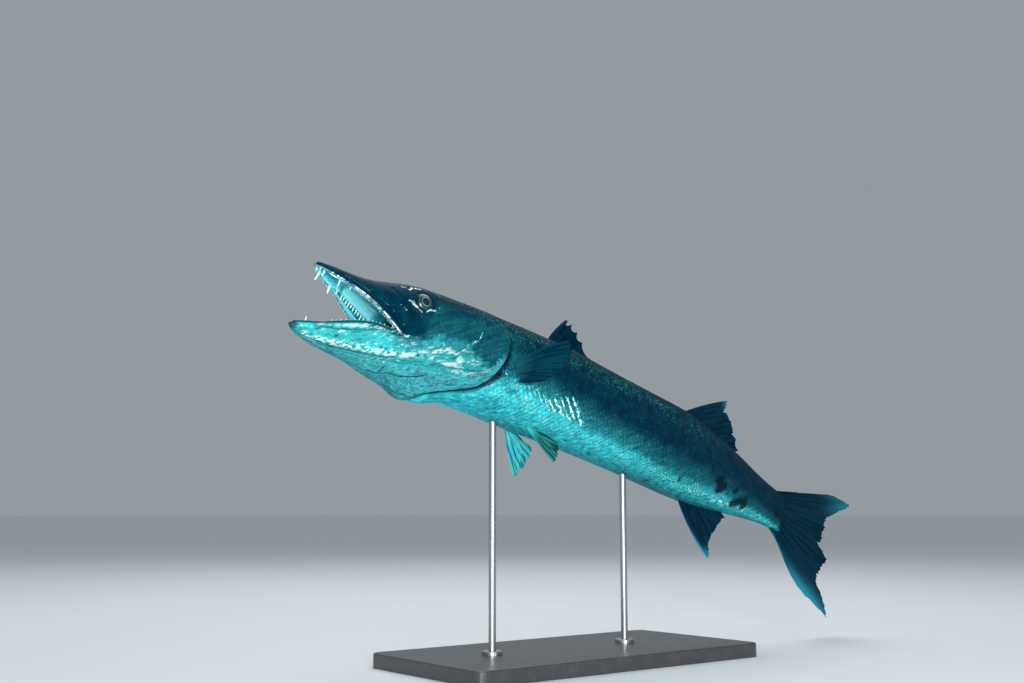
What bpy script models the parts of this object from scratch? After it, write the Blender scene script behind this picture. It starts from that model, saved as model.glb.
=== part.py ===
"""Great barracuda, life size, as a still museum model on a plain display stand.

The fish is modelled straight in its own frame: x runs back from the tip of the
snout, y to its right, z up. An empty then pitches it head up over the stand. The
model stands on z = 0, and its origin is the middle of the base's underside.
"""
import math

import bmesh
import bpy
from mathutils import Matrix, Vector

MM = 0.001
# Clearance between nodes that touch.
GAP = 0.3 * MM
# How far a fin, tooth or ridge is sunk into what it grows from.
SUNK = 4 * MM

# Pose: the body point over the middle of the base, its height, and the head-up pitch.
BALANCE_X = 540 * MM
BALANCE_HEIGHT = 438 * MM
PITCH = math.radians(18.26)

# Where the lengths of the body part from one another, back from the snout.
MOUTH_CORNER = 143 * MM
GILL_OPENING = 310 * MM
TORSO_FRONT_END = 590 * MM
TORSO_MIDDLE_END = 800 * MM
TORSO_REAR_END = 985 * MM
STALK_END = 1112 * MM

# Sections behind the mouth's corner, in millimetres:
# distance back, top, bottom, half width, height of the widest level.
BODY = (
    (143, 47.5, -109.5, 53.5, -41),
    (165, 53.5, -110.5, 56.0, -37),
    (185, 58.0, -110.5, 58.0, -32),
    (225, 62.5, -109.0, 61.5, -24),
    (287, 69.0, -98.0, 66.0, -14),
    (345, 74.5, -93.0, 68.0, -9),
    (420, 81.0, -89.5, 68.5, -4),
    (500, 86.0, -84.0, 67.5, 1),
    (600, 86.0, -78.5, 65.5, 5),
    (700, 87.5, -75.5, 62.0, 7),
    (790, 89.5, -75.0, 56.0, 8),
    (850, 84.5, -73.0, 50.0, 7),
    (900, 77.0, -68.0, 44.0, 5),
    (970, 62.5, -57.0, 35.0, 3),
    (1040, 46.0, -47.0, 25.5, 0),
    (1085, 38.0, -43.0, 18.0, -2),
    (1112, 35.5, -43.0, 9.0, -4),
)
# Loose skin of the throat: distance back and how far it hangs under the sections, and
# the power of the cosine that keeps it near the middle.
POUCH = ((150, 0), (178, 1.5), (190, 6.5), (206, 9.5), (225, 8.5), (248, 6.5), (264, 3.5), (276, 0))
POUCH_POWER = 6
# Squareness of the sections over and under the widest level: 2 is an ellipse.
SQUARE_TOP = ((143, 2.5), (230, 2.6), (345, 2.4), (800, 2.25), (1112, 2.0))
SQUARE_BOTTOM = ((143, 2.1), (230, 2.2), (500, 2.3), (1112, 2.0))

# Upper jaw: distance back, top, lip, half width at the lip, roof of the mouth.
SNOUT = (
    (0, 19.3, 15.0, 3.0, 16.4),
    (1.5, 20.6, 13.8, 7.0, 15.6),
    (5, 21.4, 12.4, 11.0, 15.2),
    (12, 22.0, 11.0, 14.5, 15.4),
    (30, 23.2, 6.0, 23.0, 15.6),
    (48, 24.4, 1.2, 30.0, 15.0),
    (67, 25.6, -5.2, 37.0, 13.5),
    (90, 30.0, -14.5, 45.5, 11.5),
    (114, 37.5, -25.5, 51.0, 8.0),
    (131, 43.5, -34.5, 53.5, 4.0),
    (143, 47.5, -41.0, 54.0, 0.0),
)
SNOUT_SQUARE = 2.4
# Lower jaw: distance back, bottom, rim, half width at the rim, floor of the mouth.
LOWER_JAW = (
    (-10, -87.5, -84.4, 3.0, -85.4),
    (-8.5, -89.8, -83.0, 7.0, -85.0),
    (-4, -92.6, -81.2, 12.0, -84.8),
    (6, -96.0, -78.0, 17.0, -85.5),
    (26, -99.8, -71.5, 23.5, -86.5),
    (46, -102.2, -62.5, 29.5, -87.0),
    (66, -102.4, -53.8, 35.0, -87.0),
    (90, -103.2, -45.2, 41.5, -86.0),
    (109, -104.8, -41.8, 46.0, -84.5),
    (126, -107.6, -42.2, 49.5, -83.5),
    (143, -109.5, -43.5, 51.5, -82.5),
)
JAW_SQUARE = 2.05
MOUTH_SQUARE = 2.2
# Thickness of the jaw at its lips, at the front and at the corner of the mouth.
LIP_WALL = (2.5 * MM, 6.0 * MM)
# Least half width inside the mouth, as a share of the jaw's.
INNER_LEAST = 0.35
# Fold of the lip on the jaw's outer side: its height at the front and at the corner of
# the mouth, where the upper one widens into the maxilla, and how far it stands proud.
UPPER_LIP = (3.0 * MM, 9.0 * MM)
LOWER_LIP = (2.5 * MM, 5.0 * MM)
LIP_PROUD = 1.1 * MM
# Steps of the fold as shares of its height above the edge and of its depth.
LIP_STEPS = ((1.15, 0.0), (1.0, 0.85), (0.5, 1.0), (0.1, 0.7))
# Where the jaw's side starts over the fold, in heights of it, the most of the jaw's
# depth that the fold takes, and how proud it is at the front.
LIP_START = 1.3
LIP_MOST = 0.45
LIP_FRONT = 0.35
# The end of the maxilla behind the mouth's corner: place, half sizes and slope.
MAXILLA_END = (148 * MM, -39 * MM)
MAXILLA_HALF = (13 * MM, 2.2 * MM, 4.6 * MM)
MAXILLA_SLOPE = math.radians(28)

# Ridge along each side of the palate that carries the palatine teeth.
PALATE_RIDGE = 3.5 * MM
PALATE_RIDGE_STEP = 3
# Most of the palate's height that the ridge takes.
RIDGE_SHARE = 0.35

# Teeth. Rows along the jaws: first and last distance back, number on each side, height
# over the gum at the front and at the back of the row, radius of the root.
UPPER_EDGE_TEETH = (24, 130, 15, 3.2, 4.6, 1.15)
PALATE_TEETH = (66, 126, 8, 9.5, 7.5, 2.0)
LOWER_EDGE_TEETH = (18, 128, 15, 4.0, 7.0, 1.5)
# Single fangs on each side: distance back, distance from the middle, height, root radius.
UPPER_FANGS = ((7, 7.0, 6.0, 1.9), (15, 9.5, 16.0, 2.8))
PALATE_FANGS = ((40, 19.0, 20.0, 2.8), (57, 22.5, 13.0, 2.3))
LOWER_FANGS = ((9, 8.5, 12.0, 2.2),)
TOOTH_SIDES = 6
TOOTH_SUNK = 2.2 * MM
# Lean of the fangs towards the tip of the snout: those in front of a place, the others.
FANG_LEAN = math.radians(18)
FANG_FRONT = 20 * MM
FANG_REAR_LEAN = math.radians(6)
# Every third tooth of a row is shorter, because real rows are uneven.
SHORT_TOOTH = 0.78
# Place of a row's teeth in the thickness of the lip's wall.
TOOTH_IN_WALL = 0.55
# Share of the palate's ridge over the gum line of its teeth, and their lean inwards.
RIDGE_GUM = 0.6
PALATE_LEAN = 0.97

# Throat behind the mouth: distance back and the share of the mouth's size left there.
THROAT = ((143, 1.0), (160, 0.93), (178, 0.80), (196, 0.60), (210, 0.36), (218, 0.14))

# Points round a section and in an arch, and the distances between sections.
RING = 28
ARCH = 15
BODY_STEP = 26 * MM
HEAD_STEP = 14 * MM
# Block that trims the front of the head's small pieces.
TRIM_SIZE = 400 * MM

# Eyes: place, radius, and the depth of the middle under the head's surface.
EYE_X = 172.5 * MM
EYE_ANGLE = 54.5
EYE_RADIUS = 16 * MM
EYE_SUNK = 9.8 * MM
# Lid: a rounded ring on the head's surface round the eye.
LID_RADIUS = 14.2 * MM
LID_THICK = 1.9 * MM
LID_SUNK = 0.3 * MM
# Nostrils: two pits on each side, as distance back and angle down from the ridge.
NOSTRILS = ((148, 27), (155, 28))
NOSTRIL_RADIUS = 1.7 * MM

# Gill covers: front edge and free rear edge, distance back in millimetres, at each
# point of the section from the back's ridge down to the throat.
GILL_COVER_FIRST = 2
GILL_COVER = (
    (290, 304), (277, 316), (272, 328), (274, 337), (276, 341), (262, 338),
    (238, 328), (218, 316), (204, 299), (196, 274), (190, 250), (186, 230),
)
COVER_THICK = 2.6 * MM
COVER_EDGE = 0.8 * MM
# The rays of the gill membrane: ridges along the lower part of the cover.
GILL_RAYS = 6
GILL_RAY_PROUD = 0.9 * MM
GILL_RAYS_FROM = 6

# Fins in the middle plane: root and tip of each ray as (distance back, height) in
# millimetres, then the half thickness at root and tip. The root height is filled in
# from the body.
FIRST_DORSAL_RAYS = (
    (457, 490, 138), (474, 502, 138), (493, 518, 128.5), (514, 533, 115), (543, 552, 94),
)
SECOND_DORSAL_RAYS = (
    (805, 926, 157), (819, 928, 145), (836, 927, 134), (853, 937, 125), (870, 946, 116),
    (887, 951, 107), (904, 956, 98), (921, 966, 92), (938, 965, 82), (955, 973, 74),
)
ANAL_RAYS = (
    (842, 960, -154), (854, 952, -142), (868, 946, -128), (882, 948, -116), (896, 955, -103),
    (910, 960, -90), (925, 964, -79), (941, 968, -71), (953, 975, -65),
)
# Bow of each fin's first ray at its middle, which fades to none at the last one.
FIRST_DORSAL_BOW = (-2.8, 0, 1.8)
SECOND_DORSAL_BOW = (-1.5, 0, 2.6)
ANAL_BOW = (-4.4, 0, -6.7)
PECTORAL_BOW = (-5.6, 2.0, 5.7)
PELVIC_LEFT_BOW = (-1.0, 0, -1.0)
PELVIC_RIGHT_BOW = (-3.0, 0, -2.0)
RAY_ROOT = 2.0 * MM
RAY_TIP = 0.45 * MM
# The membrane's half thickness as a share of the rays', and its least half thickness.
MEMBRANE = 0.42
MEMBRANE_LEAST = 0.28 * MM
# Steps along the rays of the middle fins, the tail fin and the paired fins.
MIDDLE_FIN_STEPS = 5
TAIL_FIN_STEPS = 7
PAIRED_FIN_STEPS = 6
# Notch of the membrane between two tips, as a share of the rays' length.
SPINE_NOTCH = 0.17
RAY_NOTCH = 0.014

# Tail fin: end of each ray as (distance back, height), from the upper edge to the
# middle and from the lower edge to the middle, with the roots spread over the stalk.
UPPER_TAIL_RAYS = (
    (1172, 53), (1236, 72), (1300, 88), (1349, 86), (1334, 72), (1314, 58), (1296, 46),
    (1284, 34), (1276, 19), (1273, 3), (1272, -13), (1271, -28),
)
LOWER_TAIL_RAYS = (
    (1150, -70), (1198, -113), (1252, -141), (1326, -165), (1313, -142), (1297, -119),
    (1284, -101), (1281, -86), (1288, -69), (1298, -50), (1289, -38), (1272, -28),
)
TAIL_ROOT_TOP = 34 * MM
TAIL_ROOT_MIDDLE = -4.5 * MM
TAIL_ROOT_BOTTOM = -41 * MM
TAIL_RAY_ROOT = 5.5 * MM
TAIL_RAY_TIP = 0.5 * MM

# Paired fins: first and last root on the flank as (distance back, angle down from
# the ridge), and each ray's tip as (distance back, distance from the middle plane,
# height), for the left fin and for the right one.
PECTORAL_ROOTS = ((351, 92), (370, 105))
PECTORAL_TIPS = (
    (418, 114, 56), (426, 113, 49), (430, 110, 40), (430, 107, 30), (429, 103, 19),
    (425, 99, 7), (419, 94, -4), (411, 89, -14), (400, 84, -22), (388, 79, -28),
)
PELVIC_ROOTS = ((436, 158), (450, 161))
PELVIC_LEFT_TIPS = (
    (495, 52, -126), (498, 52, -118), (500, 51, -108), (499, 50, -98), (494, 48, -89),
    (485, 45, -84),
)
PELVIC_RIGHT_TIPS = (
    (490, 40, -150), (498, 42, -141.5), (505, 43, -130), (510, 43, -117), (514, 42, -104),
    (515, 40, -91),
)
MIDDLE_FINS = (
    ("dorsal_fin_first", FIRST_DORSAL_RAYS, FIRST_DORSAL_BOW, True, SPINE_NOTCH),
    ("dorsal_fin_second", SECOND_DORSAL_RAYS, SECOND_DORSAL_BOW, True, RAY_NOTCH),
    ("anal_fin", ANAL_RAYS, ANAL_BOW, False, RAY_NOTCH),
)
PAIRED_FINS = (
    ("pectoral_fin_left", -1, PECTORAL_ROOTS, PECTORAL_TIPS, PECTORAL_BOW),
    ("pectoral_fin_right", 1, PECTORAL_ROOTS, PECTORAL_TIPS, PECTORAL_BOW),
    ("pelvic_fin_left", -1, PELVIC_ROOTS, PELVIC_LEFT_TIPS, PELVIC_LEFT_BOW),
    ("pelvic_fin_right", 1, PELVIC_ROOTS, PELVIC_RIGHT_TIPS, PELVIC_RIGHT_BOW),
)
PAIRED_ROOT = 1.8 * MM
PAIRED_TIP = 0.4 * MM

# Tongue: distance back, half width, half height.
TONGUE = ((48, 3.0, 1.5), (51, 7.0, 3.0), (60, 10.0, 4.2), (85, 12.0, 5.0), (141, 13.0, 5.0))

# Height of the tongue's underside over the middle of the mouth's curved floor.
TONGUE_RISE = 1.1 * MM
TONGUE_SIDES = 12

# Stand.
BASE_LENGTH = 620 * MM
BASE_WIDTH = 300 * MM
BASE_HEIGHT = 24 * MM
BASE_CORNER = 18 * MM
BASE_EDGE = 2.5 * MM
ROD_RADIUS = 6 * MM
ROD_FOOT_RADIUS = 17 * MM
ROD_FOOT_HEIGHT = 6 * MM
FRONT_ROD_X = 385 * MM
REAR_ROD_X = 690 * MM
# How far a rod's round end is let into the belly's outline before the belly cuts it.
ROD_INTO_BODY = 15 * MM

DARK_BACK = (0.012, 0.05, 0.06, 1.0)
SILVER = (0.42, 0.62, 0.62, 1.0)
FIN_DUSK = (0.02, 0.05, 0.07, 1.0)
MOUTH_PALE = (0.45, 0.62, 0.58, 1.0)
EYE_DARK = (0.01, 0.02, 0.02, 1.0)
STEEL = (0.55, 0.56, 0.58, 1.0)
BASE_PAINT = (0.03, 0.032, 0.035, 1.0)


def clear_scene():
    for obj in list(bpy.data.objects):
        bpy.data.objects.remove(obj, do_unlink=True)


def new_collection(name, hidden=False):
    collection = bpy.data.collections.new(name)
    collection.hide_render = hidden
    bpy.context.scene.collection.children.link(collection)
    return collection


def principled(name, color, roughness, metallic=0.0):
    material = bpy.data.materials.new(name)
    material.use_nodes = True
    shader = material.node_tree.nodes["Principled BSDF"]
    shader.inputs["Base Color"].default_value = color
    shader.inputs["Roughness"].default_value = roughness
    shader.inputs["Metallic"].default_value = metallic
    return material


def curve(x, points):
    """Height of a smooth curve at x that passes through the points and never overshoots."""
    if x <= points[0][0]:
        return points[0][1]
    if x >= points[-1][0]:
        return points[-1][1]
    steps = [b[0] - a[0] for a, b in zip(points, points[1:])]
    rises = [(b[1] - a[1]) / h for a, b, h in zip(points, points[1:], steps)]
    slopes = [rises[0]]
    for i in range(1, len(rises)):
        if rises[i - 1] * rises[i] <= 0:
            slopes.append(0.0)
        else:
            before = 2 * steps[i] + steps[i - 1]
            after = steps[i] + 2 * steps[i - 1]
            slopes.append((before + after) / (before / rises[i - 1] + after / rises[i]))
    slopes.append(rises[-1])
    i = max(k for k in range(len(rises)) if points[k][0] <= x)
    t = (x - points[i][0]) / steps[i]
    value = (1 + 2 * t) * (1 - t) ** 2 * points[i][1]
    value += t * (1 - t) ** 2 * steps[i] * slopes[i]
    value += t * t * (3 - 2 * t) * points[i + 1][1]
    value += t * t * (t - 1) * steps[i] * slopes[i + 1]
    return value


def column(table, index):
    return [(row[0] * MM, row[index] * MM) for row in table]


def factors(table):
    return [(row[0] * MM, row[1]) for row in table]


BODY_TOP, BODY_BOTTOM, BODY_HALF, BODY_LEVEL = (column(BODY, k) for k in range(1, 5))
SNOUT_TOP, SNOUT_LIP, SNOUT_HALF, SNOUT_ROOF = (column(SNOUT, k) for k in range(1, 5))
JAW_BOTTOM, JAW_RIM, JAW_HALF, JAW_FLOOR = (column(LOWER_JAW, k) for k in range(1, 5))
POUCH_CURVE = column(POUCH, 1)


def power(value, exponent):
    return math.copysign(abs(value) ** exponent, value)


def body_point(x, angle):
    """Point of the body's surface at x and an angle round from the ridge of the back."""
    sine = math.sin(angle)
    cosine = math.cos(angle)
    top = curve(x, BODY_TOP)
    bottom = curve(x, BODY_BOTTOM)
    level = curve(x, BODY_LEVEL)
    square = curve(x, factors(SQUARE_TOP if cosine >= 0 else SQUARE_BOTTOM))
    reach = top - level if cosine >= 0 else level - bottom
    y = curve(x, BODY_HALF) * power(sine, 2 / square)
    hang = curve(x, POUCH_CURVE) * min(cosine, 0.0) ** POUCH_POWER
    return Vector((x, y, level + reach * power(cosine, 2 / square) - hang))


def skin_point(x, angle, out):
    """Point at a distance out from the body's surface, square to it."""
    along = body_point(x + MM, angle) - body_point(x - MM, angle)
    turn = math.radians(2)
    around = body_point(x, angle + turn) - body_point(x, angle - turn)
    normal = around.cross(along).normalized()
    place = body_point(x, angle)
    if normal.dot(place - Vector((x, 0, curve(x, BODY_LEVEL)))) < 0:
        normal = -normal
    return place + normal * out


def ring_angle(index):
    return 2 * math.pi * index / RING


def stations(start, end, step):
    count = max(2, round((end - start) / step) + 1)
    return [start + (end - start) * k / (count - 1) for k in range(count)]


def mesh_object(name, bm, material, collection, parent=None):
    bmesh.ops.recalc_face_normals(bm, faces=bm.faces)
    mesh = bpy.data.meshes.new(name)
    bm.to_mesh(mesh)
    bm.free()
    mesh.shade_smooth()
    mesh.set_sharp_from_angle(angle=math.radians(40))
    obj = bpy.data.objects.new(name, mesh)
    if material:
        mesh.materials.append(material)
    collection.objects.link(obj)
    obj.parent = parent
    return obj


def skin_rings(bm, rings):
    """Join rings of like counts into a tube and return its rings of vertices."""
    loops = [[bm.verts.new(point) for point in ring] for ring in rings]
    for first, second in zip(loops, loops[1:]):
        for i in range(len(first)):
            j = (i + 1) % len(first)
            bm.faces.new((first[i], first[j], second[j], second[i]))
    return loops


def loft(rings):
    """Closed body through rings, with a flat cap on each end."""
    bm = bmesh.new()
    loops = skin_rings(bm, rings)
    bm.faces.new(loops[0])
    bm.faces.new(loops[-1])
    return bm


def arch_loft(arches):
    """Closed body through arch-shaped sections, each an outer arch and then an inner one.

    The outer arch may have more points than the inner one, all of them in the lips at
    its two ends, which the end caps close with one face each.
    """
    bm = bmesh.new()
    loops = skin_rings(bm, [outer + inner for outer, inner in arches])
    count = len(arches[0][1])
    extra = (len(arches[0][0]) - count) // 2
    for loop in (loops[0], loops[-1]):
        last = len(loop) - 1
        for i in range(count - 1):
            bm.faces.new((loop[extra + i], loop[extra + i + 1], loop[last - i - 1], loop[last - i]))
        bm.faces.new(loop[:extra + 1] + [loop[last]])
        bm.faces.new(loop[extra + count - 1:2 * extra + count + 1])
    return bm


def sheet(outer, inner):
    """Closed thin body between two grids of points, split into triangles alike."""
    bm = bmesh.new()
    rows = len(outer)
    columns = len(outer[0])
    grids = [[[bm.verts.new(point) for point in row] for row in grid] for grid in (outer, inner)]
    for grid in grids:
        for r in range(rows - 1):
            for c in range(columns - 1):
                bm.faces.new((grid[r][c], grid[r][c + 1], grid[r + 1][c + 1]))
                bm.faces.new((grid[r][c], grid[r + 1][c + 1], grid[r + 1][c]))
    rim = [(0, c) for c in range(columns)]
    rim += [(r, columns - 1) for r in range(1, rows)]
    rim += [(rows - 1, c) for c in range(columns - 2, -1, -1)]
    rim += [(r, 0) for r in range(rows - 2, 0, -1)]
    for (r, c), (s, d) in zip(rim, rim[1:] + rim[:1]):
        bm.faces.new((grids[0][r][c], grids[0][s][d], grids[1][s][d], grids[1][r][c]))
    return bm


def evaluated_mesh(obj):
    depsgraph = bpy.context.evaluated_depsgraph_get()
    return bpy.data.meshes.new_from_object(obj.evaluated_get(depsgraph))


def keep_largest(mesh):
    """Leave only the largest closed surface of a mesh."""
    bm = bmesh.new()
    bm.from_mesh(mesh)
    left = set(bm.verts)
    islands = []
    while left:
        island = {left.pop()}
        edge = list(island)
        while edge:
            near = {e.other_vert(v) for v in edge for e in v.link_edges}
            edge = list(near & left)
            island |= set(edge)
            left -= set(edge)
        islands.append(island)
    largest = max(islands, key=len)
    loose = [v for island in islands if island is not largest for v in island]
    bmesh.ops.delete(bm, geom=loose, context="VERTS")
    bm.to_mesh(mesh)
    bm.free()


def boolean(obj, operation, tool, solver="EXACT"):
    """Cut or join with one object or with a collection, and keep the largest piece."""
    modifier = obj.modifiers.new(operation.lower(), "BOOLEAN")
    modifier.operation = operation
    modifier.solver = solver
    if isinstance(tool, bpy.types.Collection):
        modifier.operand_type = "COLLECTION"
        modifier.collection = tool
    else:
        modifier.object = tool
    mesh = evaluated_mesh(obj)
    obj.modifiers.clear()
    obj.data = mesh
    keep_largest(mesh)


def join_pieces(obj, make, cutters, parent):
    """Join the small pieces that a function makes to the body that they grow from."""
    pieces = bpy.data.collections.new("pieces_of_" + obj.name)
    cutters.children.link(pieces)
    make(pieces, parent)
    bpy.context.view_layer.update()
    boolean(obj, "UNION", pieces)
    for piece in list(pieces.objects):
        bpy.data.objects.remove(piece, do_unlink=True)
    bpy.data.collections.remove(pieces)


def trim_box(name, end, collection, parent):
    """Block that clears everything in front of a square cut through the head."""
    bm = bmesh.new()
    bmesh.ops.create_cube(bm, size=TRIM_SIZE)
    bmesh.ops.translate(bm, verts=bm.verts, vec=(end - TRIM_SIZE / 2, 0, 0))
    obj = mesh_object(name, bm, None, collection, parent)
    obj.display_type = "WIRE"
    obj.hide_render = True
    return obj


def head_pieces(collection, parent):
    for side in (-1, 1):
        maxilla_end(side, collection, parent)
        lid(side, collection, parent)


def body_length(name, start, end, material, collection, parent):
    """One length of the body between two square cuts."""
    rings = []
    for x in stations(start + GAP / 2, end - GAP / 2, BODY_STEP):
        rings.append([body_point(x, ring_angle(i)) for i in range(RING)])
    return mesh_object(name, loft(rings), material, collection, parent)


def clearance_body(collection, parent):
    """The body grown by the clearance, which cuts fins and rods off at its surface."""
    rings = []
    lengths = (MOUTH_CORNER, GILL_OPENING, TORSO_FRONT_END, TORSO_MIDDLE_END, TORSO_REAR_END,
               STALK_END)
    for start, end in zip(lengths, lengths[1:]):
        for x in stations(start + GAP / 2, end - GAP / 2, BODY_STEP):
            rings.append([skin_point(x, ring_angle(i), GAP) for i in range(RING)])
    obj = mesh_object("body_clearance", loft(rings), None, collection, parent)
    obj.display_type = "WIRE"
    obj.hide_render = True
    return obj


def arch(x, half, edge, peak, square):
    """Arch from the left edge over its peak, which may lie below, to the right edge."""
    points = []
    for i in range(ARCH):
        angle = math.pi * i / (ARCH - 1) - math.pi / 2
        y = half * power(math.sin(angle), 2 / square)
        points.append(Vector((x, y, edge + (peak - edge) * power(math.cos(angle), 2 / square))))
    return points


def lip_fold(points, edge, peak, heights, x):
    """Arch with the fold of the lip set in along both of its edges."""
    share = max(0.0, min(1.0, x / MOUTH_CORNER))
    height = heights[0] + (heights[1] - heights[0]) * share
    height = math.copysign(min(height, LIP_MOST * abs(peak - edge)), peak - edge)
    proud = LIP_PROUD * (LIP_FRONT + (1 - LIP_FRONT) * share)
    start = edge + LIP_START * height
    squeeze = (peak - start) / (peak - edge)
    half = points[-1].y
    middle = [Vector((x, p.y, start + (p.z - edge) * squeeze)) for p in points]
    fold = [Vector((x, half + proud * out, edge + height * up)) for up, out in LIP_STEPS]
    mirrored = [Vector((x, -p.y, p.z)) for p in reversed(fold)]
    return mirrored + middle + fold


def lip_wall(x):
    share = max(0.0, min(1.0, x / MOUTH_CORNER))
    return LIP_WALL[0] + (LIP_WALL[1] - LIP_WALL[0]) * share


def inner_half(x, half):
    return max(INNER_LEAST * half, half - lip_wall(x))


def snout_ring(x):
    """Section of the upper jaw: over the top, round the lip, back under the palate."""
    half = curve(x, SNOUT_HALF)
    lip = curve(x, SNOUT_LIP)
    top = curve(x, SNOUT_TOP)
    outer = lip_fold(arch(x, half, lip, top, SNOUT_SQUARE), lip, top, UPPER_LIP, x)
    inner = arch(x, inner_half(x, half), lip, curve(x, SNOUT_ROOF), MOUTH_SQUARE)
    deep = min(PALATE_RIDGE, RIDGE_SHARE * (curve(x, SNOUT_ROOF) - lip))
    for i in (PALATE_RIDGE_STEP, ARCH - 1 - PALATE_RIDGE_STEP):
        inner[i].z -= deep
    return outer, inner[::-1]


def lower_jaw_ring(x):
    """Section of the lower jaw: under the chin, round the lip, back over the floor."""
    half = curve(x, JAW_HALF)
    rim = curve(x, JAW_RIM)
    bottom = curve(x, JAW_BOTTOM)
    outer = lip_fold(arch(x, half, rim, bottom, JAW_SQUARE), rim, bottom, LOWER_LIP, x)
    inner = arch(x, inner_half(x, half), rim, curve(x, JAW_FLOOR), MOUTH_SQUARE)
    return outer, inner[::-1]


def head_rings():
    """Rings of the head from its rear face to the mouth, and then down the throat."""
    front = MOUTH_CORNER + GAP / 2
    rear = GILL_OPENING - GAP / 2
    rings = []
    for x in reversed(stations(front, rear, HEAD_STEP)):
        rings.append([body_point(x, ring_angle(i)) for i in range(RING)])
    half = inner_half(MOUTH_CORNER, curve(MOUTH_CORNER, SNOUT_HALF))
    level = curve(MOUTH_CORNER, BODY_LEVEL)
    roof = curve(MOUTH_CORNER, SNOUT_ROOF)
    floor = curve(MOUTH_CORNER, JAW_FLOOR)
    for back, share in THROAT:
        ring = []
        for i in range(RING):
            sine = math.sin(ring_angle(i))
            cosine = math.cos(ring_angle(i))
            reach = roof - level if cosine >= 0 else level - floor
            y = half * share * power(sine, 2 / MOUTH_SQUARE)
            z = level + reach * share * power(cosine, 2 / MOUTH_SQUARE)
            ring.append(Vector((max(back * MM, front), y, z)))
        rings.append(ring)
    return rings


def maxilla_end(side, collection, parent):
    """Rounded end of the maxilla, sunk into the cheek behind the corner of the mouth."""
    x, z = MAXILLA_END
    level = curve(x, BODY_LEVEL)
    angle = math.acos(max(-1.0, min(1.0, (z - level) / (curve(x, BODY_TOP) - level))))
    bm = bmesh.new()
    bmesh.ops.create_uvsphere(bm, u_segments=14, v_segments=8, radius=1.0)
    bmesh.ops.scale(bm, verts=bm.verts, vec=MAXILLA_HALF)
    turn = Matrix.Rotation(MAXILLA_SLOPE, 3, "Y")
    bmesh.ops.rotate(bm, verts=bm.verts, cent=(0, 0, 0), matrix=turn)
    bmesh.ops.translate(bm, verts=bm.verts, vec=skin_point(x, side * angle, 0))
    return mesh_object("maxilla_end", bm, None, collection, parent)


def lid(side, collection, parent):
    """Rounded ring on the head's surface round the eye."""
    place = eye_surface(side)
    out = (place - eye_place(side)).normalized()
    bm = bmesh.new()
    turn = out.to_track_quat("Z", "Y").to_matrix()
    first = place + turn @ Vector((LID_RADIUS, 0, -LID_SUNK))
    rim = bmesh.ops.create_circle(bm, segments=6, radius=LID_THICK)["verts"]
    side_axis = turn @ Vector((0, 1, 0))
    tube = side_axis.to_track_quat("Z", "Y").to_matrix().to_4x4()
    bmesh.ops.transform(bm, matrix=Matrix.Translation(first) @ tube, verts=rim)
    bmesh.ops.spin(bm, geom=bm.edges[:], cent=place, axis=out, angle=2 * math.pi, steps=24,
                   use_merge=True)
    bmesh.ops.remove_doubles(bm, verts=bm.verts, dist=0.001 * MM)
    return mesh_object("lid", bm, None, collection, parent)


def spike(root, tip, radius, collection, parent):
    """Pointed tooth from a root sunk in the jaw to its tip."""
    along = tip - root
    bm = bmesh.new()
    bmesh.ops.create_cone(bm, cap_ends=True, segments=TOOTH_SIDES, radius1=radius,
                          radius2=0.12 * radius, depth=along.length)
    turn = along.to_track_quat("Z", "Y").to_matrix().to_4x4()
    place = Matrix.Translation((root + tip) / 2)
    bmesh.ops.transform(bm, matrix=place @ turn, verts=bm.verts)
    return mesh_object("tooth", bm, None, collection, parent)


def mouth_height(x, y, half, edge, peak):
    """Height of the roof or the floor of the mouth at a distance from the middle."""
    share = min(0.98, abs(y) / inner_half(x, half))
    return edge + (peak - edge) * (1 - share ** MOUTH_SQUARE) ** (1 / MOUTH_SQUARE)


def tooth_row(row):
    """Distance back and height of each tooth of a row."""
    first, last, count, height_first, height_last, radius = row
    teeth = []
    for k in range(count):
        share = k / (count - 1)
        height = height_first + (height_last - height_first) * share
        height *= SHORT_TOOTH if k % 3 == 1 else 1.0
        teeth.append(((first + (last - first) * share) * MM, height * MM, radius * MM))
    return teeth


def upper_teeth(collection, parent):
    for side in (-1, 1):
        for x, height, radius in tooth_row(UPPER_EDGE_TEETH):
            y = side * (curve(x, SNOUT_HALF) - TOOTH_IN_WALL * lip_wall(x))
            lip = curve(x, SNOUT_LIP)
            spike(Vector((x, y, lip + TOOTH_SUNK)), Vector((x, y, lip - height)), radius,
                  collection, parent)
        for x, height, radius in tooth_row(PALATE_TEETH):
            half = curve(x, SNOUT_HALF)
            y = side * palate_ridge(half, x)
            root = curve(x, SNOUT_LIP)
            peak = curve(x, SNOUT_ROOF)
            gum = mouth_height(x, y, half, root, peak) - PALATE_RIDGE * RIDGE_GUM
            spike(Vector((x, y, gum + TOOTH_SUNK)), Vector((x, y * PALATE_LEAN, gum - height)),
                  radius, collection, parent)
        for x, y, height, radius in PALATE_FANGS + UPPER_FANGS:
            x, y, height, radius = x * MM, side * y * MM, height * MM, radius * MM
            gum = mouth_height(x, y, curve(x, SNOUT_HALF), curve(x, SNOUT_LIP),
                               curve(x, SNOUT_ROOF))
            lean = math.tan(FANG_LEAN if x < FANG_FRONT else FANG_REAR_LEAN)
            tip = Vector((x - height * lean, y, gum - height))
            spike(Vector((x, y, gum + TOOTH_SUNK)), tip, radius, collection, parent)


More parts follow.
